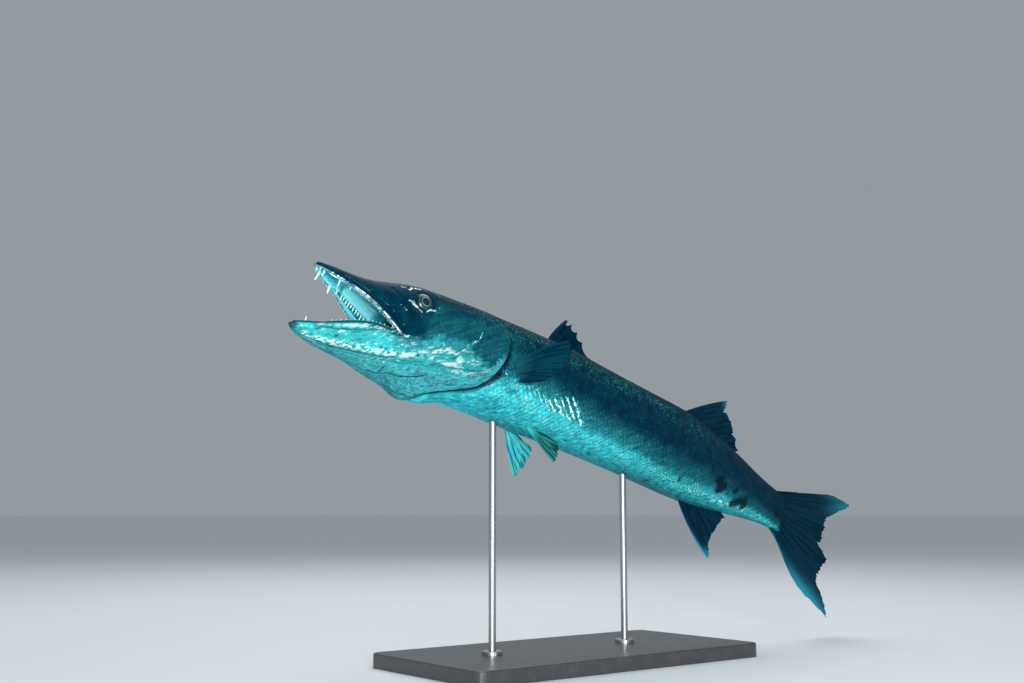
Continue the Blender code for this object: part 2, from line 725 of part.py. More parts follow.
def lower_teeth(collection, parent):
    for side in (-1, 1):
        for x, height, radius in tooth_row(LOWER_EDGE_TEETH):
            y = side * (curve(x, JAW_HALF) - TOOTH_IN_WALL * lip_wall(x))
            rim = curve(x, JAW_RIM)
            spike(Vector((x, y, rim - TOOTH_SUNK)), Vector((x, y, rim + height)), radius,
                  collection, parent)
        for x, y, height, radius in LOWER_FANGS:
            x, y, height, radius = x * MM, side * y * MM, height * MM, radius * MM
            gum = mouth_height(x, y, curve(x, JAW_HALF), curve(x, JAW_RIM), curve(x, JAW_FLOOR))
            tip = Vector((x - height * math.tan(FANG_REAR_LEAN), y, gum + height))
            spike(Vector((x, y, gum - TOOTH_SUNK)), tip, radius, collection, parent)


def gill_cover(name, side, material, collection, parent):
    """Thin plate over the side of the head, free along its rear and lower edge."""
    columns = 2 * GILL_RAYS
    outer = []
    inner = []
    for k, (front, rear) in enumerate(GILL_COVER):
        angle = side * ring_angle(GILL_COVER_FIRST + k)
        over = []
        under = []
        for c in range(columns + 1):
            share = c / columns
            x = (front + (rear - front) * share) * MM
            swell = max(0.0, math.sin(math.pi * share)) ** 0.5
            thick = COVER_EDGE + (COVER_THICK - COVER_EDGE) * swell
            if k >= GILL_RAYS_FROM and c % 2 == 1:
                thick += GILL_RAY_PROUD * swell
            under.append(skin_point(x, angle, GAP))
            over.append(skin_point(x, angle, GAP + thick))
        inner.append(under)
        outer.append(over)
    return mesh_object(name, sheet(outer, inner), material, collection, parent)


def fan(roots, tips, root_half, tip_half, notch, steps, bow):
    """Fin with a raised ray from each root to each tip and thin membrane between them."""
    lines = []
    for i, (root, tip) in enumerate(zip(roots, tips)):
        lines.append((root, tip, 1.0))
        if i + 1 < len(roots):
            middle = (root + roots[i + 1]) / 2
            edge = (tip + tips[i + 1]) / 2
            lines.append((middle, edge + (middle - edge) * notch, MEMBRANE))
    middle_grid = []
    for r, (root, tip, share) in enumerate(lines):
        bend = Vector(bow) * MM * (1 - r / (len(lines) - 1))
        row = []
        for s in range(steps + 1):
            way = s / steps
            row.append(root.lerp(tip, way) + bend * 4 * way * (1 - way))
        middle_grid.append(row)
    outer = []
    inner = []
    last = len(lines) - 1
    for r, (root, tip, share) in enumerate(lines):
        over = []
        under = []
        for s in range(steps + 1):
            across = middle_grid[min(r + 1, last)][s] - middle_grid[max(r - 1, 0)][s]
            along = middle_grid[r][min(s + 1, steps)] - middle_grid[r][max(s - 1, 0)]
            normal = across.cross(along).normalized()
            half = root_half + (tip_half - root_half) * s / steps
            half = max(half * share, MEMBRANE_LEAST)
            over.append(middle_grid[r][s] + normal * half)
            under.append(middle_grid[r][s] - normal * half)
        outer.append(over)
        inner.append(under)
    return sheet(outer, inner)


def middle_fin(name, rays, bow, upward, notch, material, collection, parent):
    """Fin in the middle plane of the fish, on the back or under the belly."""
    roots = []
    tips = []
    for root_x, tip_x, tip_z in rays:
        x = root_x * MM
        edge = curve(x, BODY_TOP) - SUNK if upward else curve(x, BODY_BOTTOM) + SUNK
        roots.append(Vector((x, 0, edge)))
        tips.append(Vector((tip_x * MM, 0, tip_z * MM)))
    bm = fan(roots, tips, RAY_ROOT, RAY_TIP, notch, MIDDLE_FIN_STEPS, bow)
    return mesh_object(name, bm, material, collection, parent)


def tail_fin(name, ends, root_edge, side, material, collection, parent):
    """One lobe of the tail fin: side is 1 for the upper lobe and -1 for the lower."""
    roots = []
    tips = []
    for k, (x, z) in enumerate(ends):
        share = k / (len(ends) - 1)
        middle = TAIL_ROOT_MIDDLE + side * GAP
        root_z = root_edge + (middle - root_edge) * share
        roots.append(Vector((STALK_END + GAP, 0, root_z)))
        clear = side * GAP * share
        tips.append(Vector((x * MM, 0, z * MM + clear)))
    bm = fan(roots, tips, TAIL_RAY_ROOT, TAIL_RAY_TIP, RAY_NOTCH, TAIL_FIN_STEPS, (0, 0, 0))
    return mesh_object(name, bm, material, collection, parent)


def paired_fin(name, side, base, ends, bow, material, collection, parent):
    """Fin on one flank: side is -1 for the left and 1 for the right."""
    (first_x, first_angle), (last_x, last_angle) = base
    roots = []
    tips = []
    for k, (x, out, z) in enumerate(ends):
        share = k / (len(ends) - 1)
        root_x = (first_x + (last_x - first_x) * share) * MM
        angle = math.radians(first_angle + (last_angle - first_angle) * share)
        roots.append(skin_point(root_x, side * angle, -SUNK))
        tips.append(Vector((x * MM, side * out * MM, z * MM)))
    bend = (bow[0], side * bow[1], bow[2])
    bm = fan(roots, tips, PAIRED_ROOT, PAIRED_TIP, RAY_NOTCH, PAIRED_FIN_STEPS, bend)
    return mesh_object(name, bm, material, collection, parent)


def ball(name, centre, radius, material, collection, parent, segments=18):
    bm = bmesh.new()
    bmesh.ops.create_uvsphere(bm, u_segments=segments, v_segments=segments // 2 + 1,
                              radius=radius)
    bmesh.ops.translate(bm, verts=bm.verts, vec=centre)
    return mesh_object(name, bm, material, collection, parent)


def eye_surface(side):
    return skin_point(EYE_X, side * math.radians(EYE_ANGLE), 0)


def eye_place(side):
    return skin_point(EYE_X, side * math.radians(EYE_ANGLE), -EYE_SUNK)


def palate_ridge(half, x):
    """Distance from the middle of the ridge that carries the palatine teeth."""
    angle = math.pi * PALATE_RIDGE_STEP / (ARCH - 1) - math.pi / 2
    return inner_half(x, half) * abs(power(math.sin(angle), 2 / MOUTH_SQUARE))


def tongue(material, collection, parent):
    half_widths = column(TONGUE, 1)
    half_heights = column(TONGUE, 2)
    rings = []
    for x in [row[0] * MM for row in TONGUE]:
        height = curve(x, half_heights)
        middle = curve(x, JAW_FLOOR) + TONGUE_RISE + height
        ring = []
        for i in range(TONGUE_SIDES):
            angle = 2 * math.pi * i / TONGUE_SIDES
            y = curve(x, half_widths) * math.sin(angle)
            ring.append(Vector((x, y, middle + height * math.cos(angle))))
        rings.append(ring)
    return mesh_object("tongue", loft(rings), material, collection, parent)


def stand_base(material, collection):
    bm = bmesh.new()
    bmesh.ops.create_cube(bm, size=1.0)
    bmesh.ops.scale(bm, verts=bm.verts, vec=(BASE_LENGTH, BASE_WIDTH, BASE_HEIGHT))
    bmesh.ops.translate(bm, verts=bm.verts, vec=(0, 0, BASE_HEIGHT / 2))
    upright = [e for e in bm.edges if abs(e.verts[0].co.z - e.verts[1].co.z) > BASE_HEIGHT / 2]
    bmesh.ops.bevel(bm, geom=upright, offset=BASE_CORNER, offset_type="OFFSET", segments=6,
                    profile=0.5, affect="EDGES", material=-1)
    top = [e for e in bm.edges if all(v.co.z > BASE_HEIGHT - MM for v in e.verts)]
    bmesh.ops.bevel(bm, geom=top, offset=BASE_EDGE, offset_type="OFFSET", segments=2,
                    profile=0.5, affect="EDGES", material=-1)
    return mesh_object("stand_base", bm, material, collection)


def world_place(x, z):
    """Place over the base of a point in the middle plane of the pitched fish."""
    back = x - BALANCE_X
    return (back * math.cos(PITCH) + z * math.sin(PITCH),
            BALANCE_HEIGHT - back * math.sin(PITCH) + z * math.cos(PITCH))


def stand_rod(name, body_x, material, collection, clearance):
    """Turned rod with a round foot, cut off at the belly above it."""
    place_x, top = world_place(body_x, curve(body_x, BODY_BOTTOM) + ROD_INTO_BODY)
    bottom = BASE_HEIGHT + GAP
    profile = (
        (0, top), (ROD_RADIUS, top), (ROD_RADIUS, bottom + ROD_FOOT_HEIGHT),
        (ROD_FOOT_RADIUS - MM, bottom + ROD_FOOT_HEIGHT), (ROD_FOOT_RADIUS, bottom + 5 * MM),
        (ROD_FOOT_RADIUS, bottom), (0, bottom),
    )
    bm = bmesh.new()
    verts = [bm.verts.new((r, 0, z)) for r, z in profile]
    for a, b in zip(verts, verts[1:]):
        bm.edges.new((a, b))
    mesh = bpy.data.meshes.new(name)
    bm.to_mesh(mesh)
    bm.free()
    mesh.materials.append(material)
    rod = bpy.data.objects.new(name, mesh)
    collection.objects.link(rod)
    rod.location = (place_x, 0, 0)
    screw = rod.modifiers.new("turn", "SCREW")
    screw.steps = 24
    screw.render_steps = 24
    screw.use_merge_vertices = True
    screw.merge_threshold = 0.01 * MM
    screw.use_normal_calculate = True
    boolean(rod, "DIFFERENCE", clearance)
    return rod


def main():
    clear_scene()
    model = new_collection("great_barracuda")
    cutters = new_collection("cutters", hidden=True)
    pose = bpy.data.objects.new("barracuda_pose", None)
    model.objects.link(pose)
    place_x, place_z = world_place(0, 0)
    pose.location = (place_x, 0, place_z)
    pose.rotation_euler = (0, PITCH, 0)

    dark = principled("dark_back", DARK_BACK, 0.45)
    silver = principled("silver_flank", SILVER, 0.35)
    dusk = principled("fin_dusk", FIN_DUSK, 0.5)
    pale = principled("mouth_pale", MOUTH_PALE, 0.4)
    eye_dark = principled("eye_dark", EYE_DARK, 0.1)
    steel = principled("steel", STEEL, 0.3, 1.0)
    paint = principled("base_paint", BASE_PAINT, 0.5)
    bpy.context.view_layer.update()

    clearance = clearance_body(cutters, pose)
    bpy.context.view_layer.update()

    front = MOUTH_CORNER - GAP / 2
    snout_places = [row[0] * MM for row in SNOUT[:-1]] + [front]
    snout = mesh_object("snout", arch_loft([snout_ring(x) for x in snout_places]), dark, model,
                        pose)
    jaw_places = [row[0] * MM for row in LOWER_JAW[:-1]] + [front]
    jaw = mesh_object("lower_jaw", arch_loft([lower_jaw_ring(x) for x in jaw_places]), silver,
                      model, pose)
    head = mesh_object("head", loft(head_rings()), dark, model, pose)
    join_pieces(snout, upper_teeth, cutters, pose)
    join_pieces(jaw, lower_teeth, cutters, pose)
    join_pieces(head, head_pieces, cutters, pose)
    trim = trim_box("front_of_head", front + GAP, cutters, pose)
    bpy.context.view_layer.update()
    boolean(head, "DIFFERENCE", trim)
    tongue(pale, model, pose)

    for word, side in (("left", -1), ("right", 1)):
        place = eye_place(side)
        socket = ball("socket_" + word, place, EYE_RADIUS + GAP, None, cutters, pose)
        socket.hide_render = True
        bpy.context.view_layer.update()
        boolean(head, "DIFFERENCE", socket)
        for x, angle in NOSTRILS:
            pit_place = skin_point(x * MM, side * math.radians(angle), 0)
            pit = ball("nostril", pit_place, NOSTRIL_RADIUS, None, cutters, pose, 8)
            pit.hide_render = True
            bpy.context.view_layer.update()
            boolean(head, "DIFFERENCE", pit)
        ball("eye_" + word, place, EYE_RADIUS, eye_dark, model, pose)
        gill_cover("gill_cover_" + word, side, dark, model, pose)

    lengths = (
        ("torso_front", GILL_OPENING, TORSO_FRONT_END),
        ("torso_middle", TORSO_FRONT_END, TORSO_MIDDLE_END),
        ("torso_rear", TORSO_MIDDLE_END, TORSO_REAR_END),
        ("tail_stalk", TORSO_REAR_END, STALK_END),
    )
    for name, start, end in lengths:
        body_length(name, start, end, silver, model, pose)

    fins = []
    for name, rays, bow, upward, notch in MIDDLE_FINS:
        fins.append(middle_fin(name, rays, bow, upward, notch, dusk, model, pose))
    for name, side, base, ends, bow in PAIRED_FINS:
        fins.append(paired_fin(name, side, base, ends, bow, dusk, model, pose))
    bpy.context.view_layer.update()
    for fin in fins:
        boolean(fin, "DIFFERENCE", clearance)
    tail_fin("caudal_fin_upper", UPPER_TAIL_RAYS, TAIL_ROOT_TOP, 1, dusk, model, pose)
    tail_fin("caudal_fin_lower", LOWER_TAIL_RAYS, TAIL_ROOT_BOTTOM, -1, dusk, model, pose)

    stand_base(paint, model)
    stand_rod("stand_rod_front", FRONT_ROD_X, steel, model, clearance)
    stand_rod("stand_rod_rear", REAR_ROD_X, steel, model, clearance)


main()
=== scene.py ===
"""Looks of the great barracuda model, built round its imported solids.

Lengths here are millimetres in the fish's own frame: x runs back from the tip of the
snout, y to its right, z up. placed() turns them into metres over the stand. Angles
are degrees round the body from the ridge of the back, negative on the left side.
"""
import math
from functools import partial

import bmesh
import bpy
import numpy as np
from bpy.props import FloatProperty, FloatVectorProperty, PointerProperty
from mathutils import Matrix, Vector


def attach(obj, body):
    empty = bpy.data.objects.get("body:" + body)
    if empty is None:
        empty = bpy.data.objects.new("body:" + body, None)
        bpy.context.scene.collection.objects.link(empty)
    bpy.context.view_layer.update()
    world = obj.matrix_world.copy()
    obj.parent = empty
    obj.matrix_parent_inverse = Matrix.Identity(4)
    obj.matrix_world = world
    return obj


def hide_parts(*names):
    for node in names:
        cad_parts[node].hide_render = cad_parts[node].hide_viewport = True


bl_info = {
    "name": "Great barracuda model",
    "version": (1, 0, 0),
    "blender": (4, 5, 0),
    "location": "View3D > Sidebar > Barracuda",
    "description": "Skin, scales, fins, teeth, eyes and stand of a life-size barracuda",
    "category": "Object",
}

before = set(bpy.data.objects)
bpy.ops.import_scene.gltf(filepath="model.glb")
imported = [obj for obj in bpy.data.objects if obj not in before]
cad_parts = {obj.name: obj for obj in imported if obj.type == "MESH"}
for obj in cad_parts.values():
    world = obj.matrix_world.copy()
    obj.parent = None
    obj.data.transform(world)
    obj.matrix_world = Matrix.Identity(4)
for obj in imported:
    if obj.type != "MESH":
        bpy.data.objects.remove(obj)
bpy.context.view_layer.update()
BODY_NAME = "root"
# CAD nodes that the skin stands for.
FLESH = ("snout", "lower_jaw", "head", "gill_cover_left", "gill_cover_right", "torso_front",
         "torso_middle", "torso_rear", "tail_stalk")

MM = 0.001
# Pose: the body point over the middle of the base, its height, and the head-up pitch.
BALANCE_X = 540.0
BALANCE_HEIGHT = 438.0
PITCH = math.radians(18.26)

# Mouth's corner and the skin's end at the root of the tail, as distances back.
MOUTH_CORNER = 143.0
SKIN_END = 1136.0
# Eye: distance back and angle of its middle, half width and half depth of the ball, and
# how far its middle is sunk under the skin.
EYE_X = 172.5
EYE_ANGLE = 54.5
EYE_RADIUS = 16.0
EYE_DEPTH = 9.6
EYE_SUNK = 5.4
# Rings of skin round the eye, as distances from its middle.
EYE_OPENING = 13.8
EYE_RIM = 15.2
EYE_GROOVE = 17.4
EYE_FOLD = 20.0

# Rows of the body: distance back, top, bottom, half width, height of the widest level.
BODY = (
    (143, 47.5, -109.5, 53.5, -41.4), (165, 53.5, -110.5, 56.0, -37), (185, 58.0, -110.5, 58.0, -32),
    (225, 62.5, -109.0, 61.5, -24), (287, 69.0, -98.0, 66.0, -14), (345, 74.5, -93.0, 68.0, -9),
    (420, 81.0, -89.5, 68.5, -4), (500, 86.0, -84.0, 67.5, 1), (600, 86.0, -78.5, 65.5, 5),
    (700, 87.5, -75.5, 62.0, 7), (790, 89.5, -75.0, 56.0, 8), (850, 84.5, -73.0, 50.0, 7),
    (900, 77.0, -68.0, 44.0, 5), (970, 62.5, -57.0, 35.0, 3), (1040, 46.0, -47.0, 25.5, 0),
    (1085, 38.0, -43.0, 18.0, -2), (1112, 35.5, -43.0, 9.0, -4), (1136, 38.0, -47.0, 2.2, -5),
)
# Upper jaw: distance back, top, lip, half width at the lip, roof of the mouth.
SNOUT = (
    (0, 19.3, 15.0, 3.0, 16.4), (1.5, 20.6, 13.8, 7.0, 15.6), (5, 21.4, 12.4, 11.0, 15.2),
    (12, 22.0, 11.0, 14.5, 15.4), (30, 23.2, 6.0, 23.0, 15.6), (48, 24.4, 1.2, 30.0, 15.0),
    (67, 25.6, -5.2, 37.0, 13.5), (90, 30.0, -14.5, 45.5, 11.5), (114, 37.5, -25.5, 51.0, 8.0),
    (131, 43.5, -34.8, 53.3, 4.0),
)
# Lower jaw: distance back, bottom, rim, half width at the rim, floor of the mouth.
JAW = (
    (-10, -87.5, -84.4, 3.0, -85.4), (-8.5, -89.8, -83.0, 7.0, -85.0),
    (-4, -92.6, -81.2, 12.0, -84.8), (6, -96.0, -78.0, 17.0, -85.5),
    (26, -99.8, -71.5, 23.5, -86.5), (46, -102.2, -62.5, 29.5, -87.0),
    (66, -102.4, -53.8, 35.0, -87.0), (90, -103.2, -45.2, 41.5, -86.0),
    (109, -104.8, -41.8, 46.0, -84.5), (126, -107.6, -41.8, 50.0, -83.5),
)
# Outline above and below: distance back, top or bottom, widest level, half width there.
UPPER = tuple(row[:4] for row in SNOUT) + tuple((x, top, level, half) for x, top, _, half, level in BODY)
LOWER = tuple(row[:4] for row in JAW) + tuple((x, low, level, half) for x, _, low, half, level in BODY)
ROOF = tuple((row[0], row[4]) for row in SNOUT) + ((143, 0.0),)
FLOOR = tuple((row[0], row[4]) for row in JAW) + ((143, -82.5),)
# Powers of the rounded section above and below its widest level.
SQUARE_HIGH = ((131, 2.4), (143, 2.5), (230, 2.6), (345, 2.4), (800, 2.25), (1112, 2.0))
SQUARE_LOW = ((131, 2.05), (143, 2.1), (230, 2.2), (500, 2.3), (1112, 2.0))
# How far the loose skin of the throat hangs, and the power that keeps it near the middle.
POUCH = ((150, 0), (178, 1.5), (190, 6.5), (206, 9.5), (225, 8.5), (248, 6.5), (264, 3.5), (276, 0))
POUCH_POWER = 6
# Power of the mouth's rounded section, the lips' thickness along it, the least share of
# the jaw's width that stays open, the middle of the throat and its depth.
MOUTH_SQUARE = 2.2
LIP_WALL = ((0, 2.5), (143, 6.0))
LEAST_OPEN = 0.35
THROAT_MIDDLE = -41.4
THROAT_DEPTH = 74.5
THROAT_SHARE = ((143, 1.0), (160, 0.93), (178, 0.80), (196, 0.60), (210, 0.36), (218, 0.02))
# Free edge of the gill cover: angle and distance back.
GILL_EDGE = (
    (16, 304), (31, 313), (46, 320), (57, 332), (70, 338), (82, 338), (97, 330), (115, 316),
    (129, 299), (140, 272), (147, 245), (156, 226), (170, 217), (180, 215),
)
# Section through the cover's free edge: distance back from it and height of the skin.
GILL_SECTION = (
    (-7, 2.4), (-5, 2.3), (-3.2, 2.1), (-1.8, 1.7), (-0.8, 1.25), (-0.2, 0.8), (0.0, 0.35),
    (-0.5, -0.15), (-2.0, -0.8), (-2.8, -1.9), (-1.8, -2.9), (0.0, -3.0), (1.6, -2.5),
    (3.4, -1.7), (5.6, -1.0), (8.4, -0.4), (12, -0.1),
)
# Way round the head for one degree, and the border of the throat's soft skin as
# distance back and angle.
MM_PER_DEGREE = 1.13
THROAT_EDGE = ((-10, 170), (20, 158), (67, 149), (112, 141), (150, 132), (200, 122), (240, 118))
# Rows of the table of girths, places round each, and shares kept of each.
GIRTH_ROWS = 100
GIRTH_STEPS = 361
SHARE_STEPS = 181
# Grids: columns of half the skin, columns over each lip's roll, rows of a jaw's skin and
# power of their spacing, rows of the body before and behind the gill cover's edge, and
# rows and columns of the linings and the tongue.
SKIN_COLUMNS = 126
LIP_TURNS = 12
JAW_ROWS = 122
JAW_SPACING = 1.25
BODY_ROWS = (132, 62)
JAW_LINING_GRID = (112, 97)
THROAT_GRID = (52, 193)
TONGUE_GRID = (60, 49)

# Angle of the border between the dark back and the silver side.
SILVER_LINE = (
    (-10, 93), (100, 95), (143, 98), (175, 99), (200, 95), (223, 92), (245, 92), (262, 93),
    (280, 98), (300, 103), (340, 110), (376, 107), (430, 116), (480, 124), (576, 127),
    (683, 129), (794, 130), (913, 126), (1022, 133), (1100, 142), (1136, 145),
)
# Painted highlights where the skin glints, as lines on the skin of (distance back, angle),
# each after its half width and strength.
GLINT_LINES = (
    (1.2, 1.0, ((281, 73), (280, 78), (276, 84), (270, 86), (263, 89), (256, 93), (243, 98))),
    (0.8, 0.7, ((271, 96), (279, 100), (287, 100), (296, 103), (300, 106))),
    (1.0, 1.0, ((217, 90), (221, 95), (226, 95))),
    (1.2, 1.0, ((336, 90), (340, 86))),
    (1.2, 0.9, ((360, 56), (370, 58))),
    (3.0, 0.9, ((336, 99), (347, 100))),
    (6.0, 0.65, ((321, 116), (340, 120), (366, 127))),
    (4.5, 0.5, ((250, 118), (298, 112), (313, 104), (321, 96), (326, 90))),
    (7.0, 0.75, ((12, 152), (40, 144), (67, 137), (112, 130), (156, 116), (188, 108), (223, 101))),
    (6.5, 0.75, ((205, 99), (228, 97), (250, 101), (263, 108))),
    (4.5, 0.65, ((206, 109), (228, 111), (250, 110))),
    (1.1, 0.9, ((20, 90), (70, 88), (95, 89), (110, 90), (140, 90), (158, 93))),
    (0.8, 0.40, ((40, 72), (79, 76), (122, 80), (147, 85))),
    (0.7, 0.30, ((60, 66), (95, 70), (128, 75), (150, 82))),
    (3.4, 0.55, ((24, 100), (50, 99), (77, 98), (110, 95), (130, 93))),
    (1.3, 1.0, ((146, 56), (150, 58), (154, 61))),
    (1.9, 1.1, ((152, 60), (156, 62), (160, 64))),
    (1.1, 1.0, ((159, 64), (165, 67), (169, 69))),
    (0.9, 0.8, ((152, 56), (155, 58))),
    (1.1, 1.0, ((177, 68), (181, 66), (184, 65), (194, 65))),
    (0.9, 0.8, ((181, 65), (184, 64), (187, 65))),
    (1.4, 1.1, ((134, 32), (141, 33), (148, 35), (154, 29), (159, 31), (167, 31))),
    (0.7, 1.0, ((132, 67), (139, 68), (145, 70))),
    (1.1, 0.7, ((146, 70), (147, 71))),
    (0.7, 0.9, ((196, 61), (203, 54))),
    (0.8, 0.3, ((154, 50), (158, 46), (165, 44))),
    (3.2, 0.22, ((124, 56), (140, 60), (153, 66), (172, 75))),
    (3.0, 0.8, ((372, 107), (395, 105), (416, 103))),
    (9.0, 0.4, ((452, 104), (472, 112), (490, 119))),
    (3.0, 0.30, ((296, 116), (312, 105), (324, 94), (334, 85))),
)
# Painted highlights: bright wavy bars of glinting scale edges across the flank behind the
# pectoral fin: number of them, strength, the first bar and the last one.
BAR_SETS = (
    (6, 1.0, ((432, 112), (438, 115), (444, 118), (451, 121)),
     ((488, 97), (503, 105), (517, 114), (531, 124))),
    (5, 0.7, ((392, 113), (400, 119), (409, 125)), ((424, 103), (433, 109), (442, 115))),
)
# Sunk lines: across the gill cover, along the lower jaw, round the throat, behind the
# maxilla and at the mouth's corner. All but the first are darkened as painted shade as well.
COVER_LINE = ((290, 62), (284, 76), (279, 87), (269, 94), (254, 99), (240, 104))
JAW_LINE = ((22, 101), (38, 104), (56, 106), (70, 105), (91, 102), (112, 96), (140, 94))
THROAT_LINE = ((15, 158), (67, 147), (112, 140), (150, 130), (190, 122), (225, 118))
MAXILLA_LINE = ((118, 42), (136, 58), (154, 72), (172, 83), (182, 88))
CORNER_LINE = ((143, 90), (156, 95), (168, 101))
# Dark lines and blotches: painted shade along the head's creases, lips and grooves and by the
# pectoral fin's root, and the fish's own dark blotches on the rear: half width, strength, places.
SHADE_LINES = (
    (5.0, 0.5, ((349, 112), (367, 116), (390, 123))),
    (1.2, 0.85, JAW_LINE),
    (1.5, 0.9, ((-4, 92), (26, 91), (66, 91), (109, 91), (130, 91))),
    (2.6, 0.55, ((28, 80), (79, 83), (122, 85), (143, 87))),
    (4.0, 0.6, MAXILLA_LINE),
    (1.2, 0.6, CORNER_LINE),
    (6.5, 2.2, ((893, 106), (903, 103), (904, 120), (915, 110))),
    (7.5, 2.2, ((960, 135), (975, 127), (990, 119), (992, 130))),
    (4.5, 1.5, ((949, 112), (957, 106))),
    (5.5, 2.0, ((1104, 100), (1112, 104))),
    (3.6, 1.5, ((794, 129), (795, 134))),
    (3.4, 1.5, ((735, 165), (736, 170))),
    (2.6, 0.6, ((352, 88), (362, 96), (374, 106))),
    (1.2, 0.5, THROAT_LINE),
)
# Raised and sunk lines of the head: half width, height, places.
RELIEF_LINES = (
    (2.2, 0.7, ((284, 60), (279, 74), (275, 84), (266, 90), (253, 94), (240, 99), (222, 108))),
    (2.0, -0.7, COVER_LINE),
    (1.5, -1.1, JAW_LINE),
    (6.0, 0.9, ((12, 150), (40, 142), (67, 136), (112, 129), (156, 116), (188, 109))),
    (2.2, -0.7, THROAT_LINE),
    (3.0, -1.2, MAXILLA_LINE),
    (1.3, -0.9, CORNER_LINE),
    (4.0, 1.2, ((132, 31), (150, 29), (168, 30), (188, 34), (200, 41))),
    (2.2, 0.6, ((60, 14), (100, 12), (150, 10), (200, 9), (240, 8))),
    (1.8, -0.6, ((50, 22), (100, 20), (150, 18), (205, 17))),
    (2.6, 0.5, ((205, 60), (225, 56), (250, 52), (275, 50))),
    (4.5, 1.2, ((350, 90), (360, 97), (372, 106))),
)
# Folds of the loose throat and the gill membrane, also darkened as painted shade: half width,
# depth, places.
FOLD_LINES = (
    (1.3, 1.0, ((10, 163), (39, 149), (56, 151), (71, 148), (94, 143), (118, 134), (136, 128),
                (150, 122))),
    (1.0, 0.8, ((19, 167), (33, 156), (66, 154), (83, 154), (101, 149), (122, 141), (138, 133))),
    (0.9, 0.7, ((157, 124), (168, 122), (179, 120), (198, 116))),
    (1.5, 1.2, ((117, 172), (124, 170), (136, 164), (145, 158), (153, 149), (173, 146), (183, 142),
                (198, 136), (208, 132))),
    (1.2, 1.0, ((209, 127), (214, 131), (214, 137), (228, 140), (243, 146), (250, 147))),
    (1.6, 1.2, ((168, 178), (182, 178), (192, 173), (200, 168), (209, 166), (220, 168), (236, 170))),
    (1.1, 0.9, ((209, 117), (220, 114), (244, 114), (261, 113), (279, 112), (296, 109), (306, 106))),
    (0.8, 0.7, ((213, 117), (227, 116), (237, 120), (249, 124), (261, 126), (275, 126), (288, 124),
                (303, 120))),
    (0.8, 0.6, ((226, 115), (240, 119), (254, 121), (271, 122), (288, 118), (305, 113))),
    (0.8, 0.6, ((222, 121), (234, 126), (246, 131), (262, 133), (278, 131), (292, 127))),
    (0.8, 0.6, ((220, 129), (232, 134), (245, 139), (258, 139), (272, 136))),
    (1.0, 0.8, ((180, 128), (188, 138), (195, 146), (204, 153))),
    (0.9, 0.7, ((168, 150), (179, 161))),
    (0.9, 0.7, ((155, 155), (172, 172))),
    (0.9, 0.7, ((45, 153), (58, 164), (68, 168))),
    (0.9, 0.5, ((60, 160), (85, 162), (108, 158), (128, 150), (146, 143), (170, 137), (196, 127))),
    (0.9, 0.5, ((88, 170), (112, 167), (132, 157), (148, 148))),
)
# Places of the nostrils: distance back and angle.
NOSTRILS = ((148, 27), (155, 28))

# Scales: distance between rows 500 mm back, distance between the scales of a row as a
# share of it, a scale's half length as a share of that distance and half width as a share
# of the rows' distance, its corners, and the share of the flank where the middle row runs.
ROW_SPACING = 6.6
SCALE_PITCH = 1.42
SCALE_REACH = 0.97
SCALE_HALF_WIDTH = 1.12
SCALE_SIDES = 11
MIDDLE_SHARE = 0.45
# How deep the skin lies under full scales.
SCALE_BED = 0.85
# Small scales of the cheek: share of the full size, height of the free edge and span. The
# full ones start on the nape.
CHEEK_FINENESS = 0.5
CHEEK_LIFT = 0.25
CHEEK_SPAN = (182, 345)
NAPE_START = 205
# Starts of the random draws.
KEEP_SEED = 5
FIRST_SEED = 90
HEAD_SEED = 99
TEETH_SEED = 70
FIN_SEED = 200
# Pieces of the coat, each with the span of its scales' roots.
COAT_PIECES = (
    ("nape", 0, 352), ("front", 352, 500), ("middle", 500, 665), ("rear", 665, 840), ("tail", 840, 1140),
)
# Each scale's patch on the bake map, and the fish's length on it.
BAKE_PATCH = 0.003
BAKE_LENGTH = 1350

# Fins in the middle plane: root and tip of each ray as (distance back, height).
FIRST_DORSAL_RAYS = ((457, 490, 138), (474, 502, 138), (493, 518, 128.5), (514, 533, 115), (543, 552, 94))
SECOND_DORSAL_RAYS = (
    (805, 926, 157), (819, 928, 145), (836, 927, 134), (853, 937, 125), (870, 946, 116),
    (887, 951, 107), (904, 956, 98), (921, 966, 92), (938, 965, 82), (955, 973, 74),
)
ANAL_RAYS = (
    (842, 960, -154), (854, 952, -142), (868, 946, -128), (882, 948, -116), (896, 955, -103),
    (910, 960, -90), (925, 964, -79), (941, 968, -71), (953, 975, -65),
)
# Ends of the tail's rays from its upper edge to its lower edge.
TAIL_RAYS = (
    (1172, 53), (1236, 72), (1300, 88), (1349, 86), (1334, 72), (1314, 58), (1296, 46), (1284, 34),
    (1276, 19), (1273, 3), (1272, -13), (1271, -28), (1289, -38), (1298, -50), (1288, -69),
    (1281, -86), (1284, -101), (1297, -119), (1313, -142), (1326, -165), (1252, -141),
    (1198, -113), (1150, -70),
)
TAIL_ROOTS = (1106, 34.0, -41.0)
# Paired fins: first and last root as (distance back, angle), then the rays' tips as
# (distance back, distance from the middle plane, height).
PECTORAL_ROOTS = ((351, 92), (370, 105))
PECTORAL_TIPS = (
    (418, 114, 56), (426, 113, 49), (430, 110, 40), (430, 107, 30), (429, 103, 19),
    (425, 99, 7), (419, 94, -4), (411, 89, -14), (400, 84, -22), (388, 79, -28),
)
PELVIC_ROOTS = ((436, 158), (450, 161))
PELVIC_LEFT_TIPS = (
    (495, 52, -126), (498, 52, -118), (500, 51, -108), (499, 50, -98), (494, 48, -89), (485, 45, -84),
)
PELVIC_RIGHT_TIPS = (
    (490, 40, -150), (498, 42, -141.5), (505, 43, -130), (510, 43, -117), (514, 42, -104),
    (515, 40, -91),
)
# How far the fins' roots are sunk, and how far their rounded rims pass the end rays.
FIN_SUNK = 4.0
FIN_RIM = 0.16
